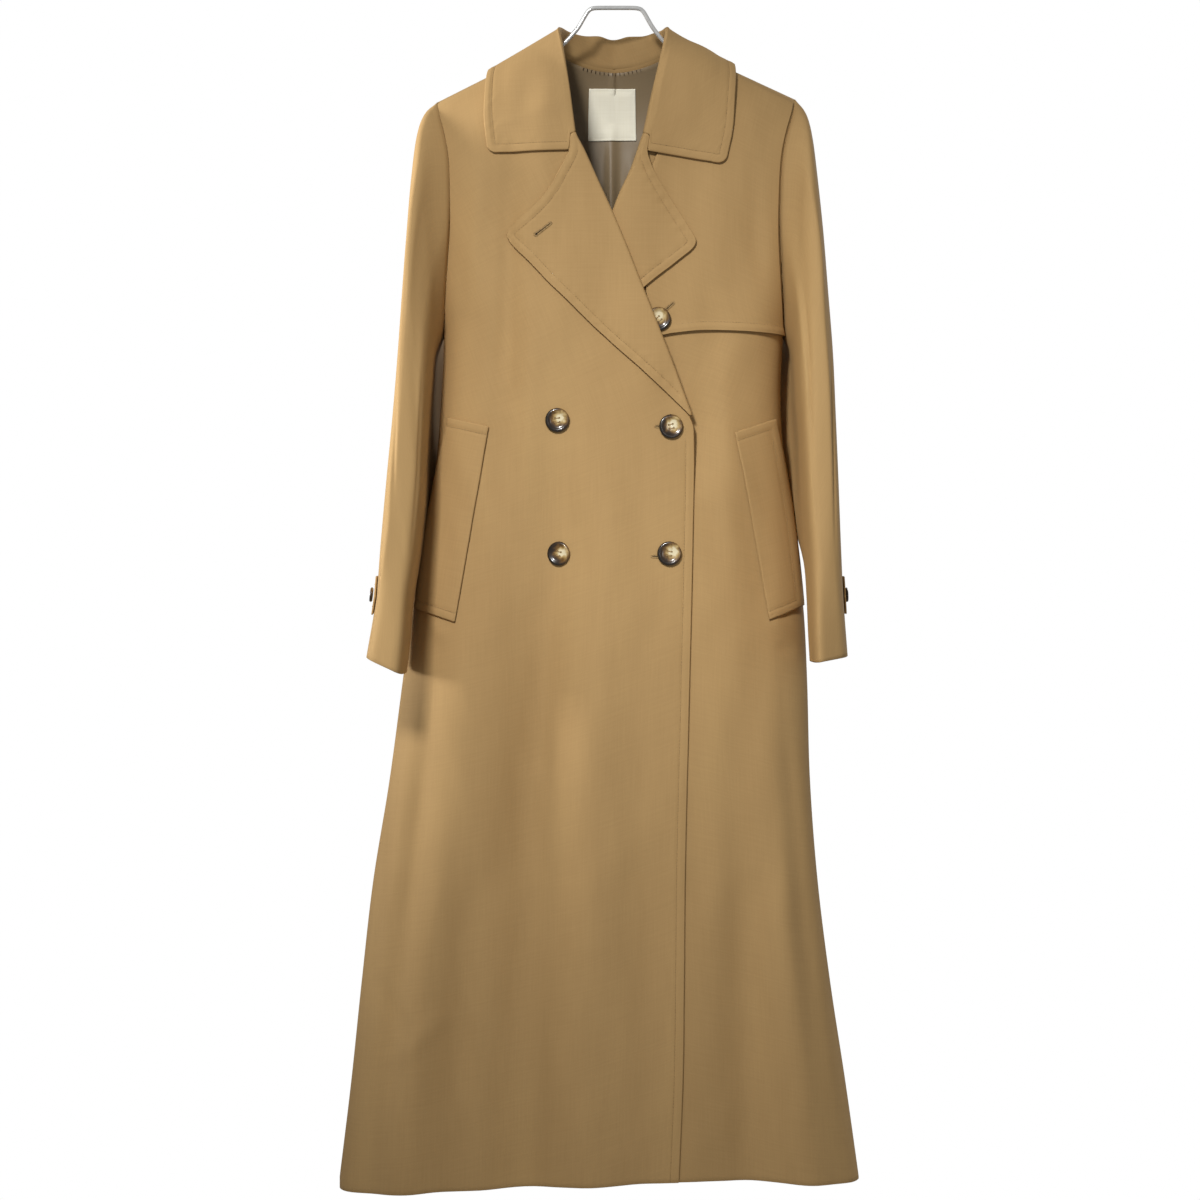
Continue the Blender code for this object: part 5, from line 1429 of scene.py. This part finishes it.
def turned_button(name, wide, thick, seat, normal, spin):
    """A button where it is sewn on, and the lines of the thread that holds it."""
    half = wide / 2
    shape = bmesh.new()
    verts = [shape.verts.new((share * half, 0, height * thick)) for share, height in BUTTON_PROFILE]
    edges = [shape.edges.new(pair) for pair in zip(verts[:-1], verts[1:])]
    bmesh.ops.spin(shape, geom=verts + edges, cent=(0, 0, 0), axis=(0, 0, 1), angle=math.tau, steps=48)
    bmesh.ops.remove_doubles(shape, verts=shape.verts, dist=0.001)
    bmesh.ops.recalc_face_normals(shape, faces=shape.faces)
    body = bpy.data.objects.new("turning", bpy.data.meshes.new("turning"))
    shape.to_mesh(body.data)
    shape.free()
    bpy.context.scene.collection.objects.link(body)
    drills = []
    for number in range(4):
        turn = math.tau * (number + 0.5) / 4
        shape = bmesh.new()
        drilled = {"radius1": wide * HOLE_RADIUS, "radius2": wide * HOLE_RADIUS, "depth": thick * 4}
        bmesh.ops.create_cone(shape, cap_ends=True, segments=16, **drilled)
        drill = bpy.data.objects.new("drill", bpy.data.meshes.new("drill"))
        shape.to_mesh(drill.data)
        shape.free()
        drill.location = (math.cos(turn) * half * HOLES_OUT, math.sin(turn) * half * HOLES_OUT, 0)
        bpy.context.scene.collection.objects.link(drill)
        cut = body.modifiers.new("hole", "BOOLEAN")
        cut.object, cut.solver = drill, "EXACT"
        drills.append(drill)
    bpy.context.view_layer.update()
    mesh = bpy.data.meshes.new_from_object(body.evaluated_get(bpy.context.evaluated_depsgraph_get()))
    for leftover in [body, *drills]:
        bpy.data.objects.remove(leftover)
    mesh = in_one_order(mesh, name)
    corner, local = np.zeros(len(mesh.loops), np.int32), np.zeros(len(mesh.vertices) * 3)
    mesh.loops.foreach_get("vertex_index", corner)
    mesh.vertices.foreach_get("co", local)
    uvs = local.reshape(-1, 3)[:, :2] / half
    mesh.uv_layers.new(name="turning").data.foreach_set("uv", uvs[corner].ravel())
    stand = Vector(normal).to_track_quat("Z", "Y").to_matrix().to_4x4() @ Matrix.Rotation(spin, 4, "Z")
    stand = Matrix.Translation(seat) @ stand
    mesh.transform(Matrix.Scale(MM, 4) @ stand)
    made = placed(name, mesh, horn)
    mesh.set_sharp_from_angle(angle=math.radians(40))
    sewn(made, "horn", name)
    reach = half * HOLES_OUT * math.sqrt(0.5)
    threads = []
    for row in (-reach, reach):
        for beside in (-THREAD_APART, THREAD_APART):
            ends = [stand @ Vector((end, row + beside, thick * THREAD_OUT)) for end in (-reach, reach)]
            threads.append(np.array(ends))
    return threads


FRONT_BUTTONS = (
    ("button_upper_right", -59.0, -437.0, 0.1),
    ("button_lower_right", -57.0, -574.0, -0.3),
    ("button_upper_left", 57.5, -443.5, 0.25),
    ("button_lower_left", 56.0, -574.0, -0.1),
)
threads = []
for name, x, z, spin in FRONT_BUTTONS:
    x, z = np.array(x), np.array(z)
    threads += turned_button(name, *LARGE, on_front(-1, x, z, 0.4), outwards(x, z, FRONT), spin)
x, z = np.array(45.5), np.array(-333.0)
seat = on_front(1, x, z, FLAP_REST + CLOTH + 0.4)
threads += turned_button("button_storm_flap", *LARGE, seat, outwards(x, z, FRONT), 0.7)
for name, side in (("button_cuff_right", -1), ("button_cuff_left", 1)):
    angle, ring = np.array(CUFF_TABS[side][1] - 0.28), np.array((TAB_TOP + TAB_BOTTOM) / 2)
    seat = on_sleeve(ring, angle, side, TAB_REST + CLOTH + 0.8)
    normal = unit(on_sleeve(ring, angle, side, 5.0) - on_sleeve(ring, angle, side))
    threads += turned_button(name, *SMALL, seat, normal, 0.4)
stitches("button_thread", threads, slot="horn", Pitch=0.0012, Length=0.0022, Thickness=0.0007, Across=0.0)

# ---- hanger ---------------------------------------------------------------------------------------
# One length of 4.5 mm steel wire, bent to a bar and two arms that carry the shoulders. It is dipped in
# a smooth white coating, which shines and lies a little uneven.
WIRE = 4.5
coated_wire, tree, surface = finish_of("coated_wire")
place = add(tree, "ShaderNodeTexCoord").outputs["Object"]
drips = add(tree, "ShaderNodeTexNoise", inputs={"Vector": place, "Scale": 160.0, "Detail": 2.0}).outputs[0]
raised = add(tree, "ShaderNodeBump", inputs={"Strength": 0.12, "Distance": 0.0003, "Height": drips})
tree.links.new(raised.outputs["Normal"], surface.inputs["Normal"])
whites = add(tree, "ShaderNodeValToRGB", inputs={"Fac": drips}, steps=[(0, "#d9d9d6"), (1, "#f4f4f2")])
tree.links.new(whites.outputs[0], surface.inputs["Base Color"])
surface.inputs["Roughness"].default_value = 0.18
surface.inputs["Metallic"].default_value = 0.35
surface.inputs["Coat Weight"].default_value = 0.5

left_leg = [(-58, -41.4), (-53, -37.6), (-45, -29.0), (-38, -21.0), (-32, -10.0), (-28, -3.4), (-23.6, 0)]
right_leg = [(25.7, 0), (30.4, -3.4), (34.5, -11.0), (40, -20.5), (46, -28.5), (53, -36.6), (58, -40.8)]
WIRE_GAP = 0.4  # between the arms and the cloth on them
arms = []
for side in (-1, 1):
    sunk = (CLOTH + WIRE_GAP + WIRE / 2) * math.sqrt(1 + SHOULDER_FALL[side] ** 2)
    arms.append([(side * x, float(shoulder_z(side * x)) - sunk) for x in (166, 130, 100, 78, 64)])
route = np.array(arms[0] + left_leg + [(-8, 0.1), (8, 0.1)] + right_leg + arms[1][::-1])
for _ in range(3):
    rounded = np.stack([blend(route[:-1], route[1:], 0.25), blend(route[:-1], route[1:], 0.75)], 1)
    route = np.concatenate([route[:1], rounded.reshape(-1, 2), route[-1:]])
route = even_line(route, 2.0, 0)
way = unit(np.gradient(route, axis=0))
turn = np.linspace(0, math.tau, 21)[:-1]
tube = np.zeros((len(route), len(turn), 3))
tube[..., 0] = route[:, :1] + way[:, 1:] * np.cos(turn) * WIRE / 2
tube[..., 1] = np.sin(turn) * WIRE / 2
tube[..., 2] = route[:, 1:] - way[:, :1] * np.cos(turn) * WIRE / 2
index = np.arange(len(route) * len(turn)).reshape(len(route), len(turn))
after = np.roll(index, -1, 1)
faces = np.stack([index[:-1], after[:-1], after[1:], index[1:]], -1).reshape(-1, 4).tolist()
faces += [index[0][::-1].tolist(), index[-1].tolist()]
hanger = closed_solid(mesh_object("hanger_wire", tube.reshape(-1, 3), faces, coated_wire))
sewn(hanger, "hanger_wire", "hanger")

# ---- light and floor ------------------------------------------------------------------------------
# A white room. One soft light is turned on the waist, so that the collar and the hem are darker, and
# one rakes across the folds from the left. A weaker one from the right opens the shadows, one behind
# the coat gives its back a shape, and the last falls only on what lies inside the neck.
world = bpy.data.worlds.new("studio")
world.use_nodes = True
bpy.context.scene.world = world
tree = world.node_tree
seen = add(tree, "ShaderNodeLightPath").outputs["Is Camera Ray"]
strength = add(tree, "ShaderNodeMapRange", inputs={0: seen, 3: 0.24, 4: 1.0})
background = tree.nodes["Background"]
background.inputs["Color"].default_value = colour("#ffffff")
tree.links.new(strength.outputs[0], background.inputs["Strength"])


def soft_light(name, place, target, wide, high, power, spread=180.0):
    """A rectangular lamp turned on its target, with its sizes and places in metres, its power in
    watts, and the angle in degrees into which it spreads its light."""
    lamp = bpy.data.lights.new(name, "AREA")
    lamp.shape, lamp.size, lamp.size_y, lamp.energy = "RECTANGLE", wide, high, power
    lamp.spread = math.radians(spread)
    made = bpy.data.objects.new(name, lamp)
    made.location = place
    made.rotation_euler = (Vector(target) - Vector(place)).to_track_quat("-Z", "Y").to_euler()
    bpy.context.scene.collection.objects.link(made)
    return made


soft_light("key", (-0.72, -2.4, 1.0), (0.06, 0, -0.57), 0.4, 0.4, 2.7, 34)
soft_light("rake", (-2.1, 0.1, -0.15), (-0.2, 0, -0.25), 0.5, 0.7, 4.2, 46)
soft_light("fill", (1.2, -2.6, -0.4), (0.15, 0, -0.75), 0.5, 0.8, 0.2, 36)
soft_light("behind", (1.9, 2.4, 0.5), (0, 0, -0.6), 1.0, 1.4, 26)
neck = soft_light("neck", (-0.45, -2.5, 0.4), (0, 0, -0.15), 0.2, 0.2, 15)
inside_neck = bpy.data.collections.new("inside_the_neck")
for piece in (lining, label):
    inside_neck.objects.link(piece)
neck.light_linking.receiver_collection = inside_neck

# The floor is plain white paper, dull and a little cloudy.
FLOOR_Z, FLOOR_HALF, FLOOR_NEAR, FLOOR_FAR = -1450, 1500, -1100, 320
white_paper, tree, surface = finish_of("white_paper")
place = add(tree, "ShaderNodeTexCoord").outputs["Object"]
grain = add(tree, "ShaderNodeTexNoise", inputs={"Vector": place, "Scale": 30.0}).outputs[0]
whites = add(tree, "ShaderNodeValToRGB", inputs={"Fac": grain}, steps=[(0, "#ececec"), (1, "#f4f4f4")])
tree.links.new(whites.outputs[0], surface.inputs["Base Color"])
surface.inputs["Roughness"].default_value = 0.9
near = [(x, FLOOR_NEAR, FLOOR_Z) for x in (-FLOOR_HALF, FLOOR_HALF)]
far = [(x, FLOOR_FAR, FLOOR_Z) for x in (FLOOR_HALF, -FLOOR_HALF)]
corners = near + far
mesh_object("floor", corners, [[0, 1, 2, 3]], white_paper)

bpy.context.scene.view_settings.view_transform = "Standard"
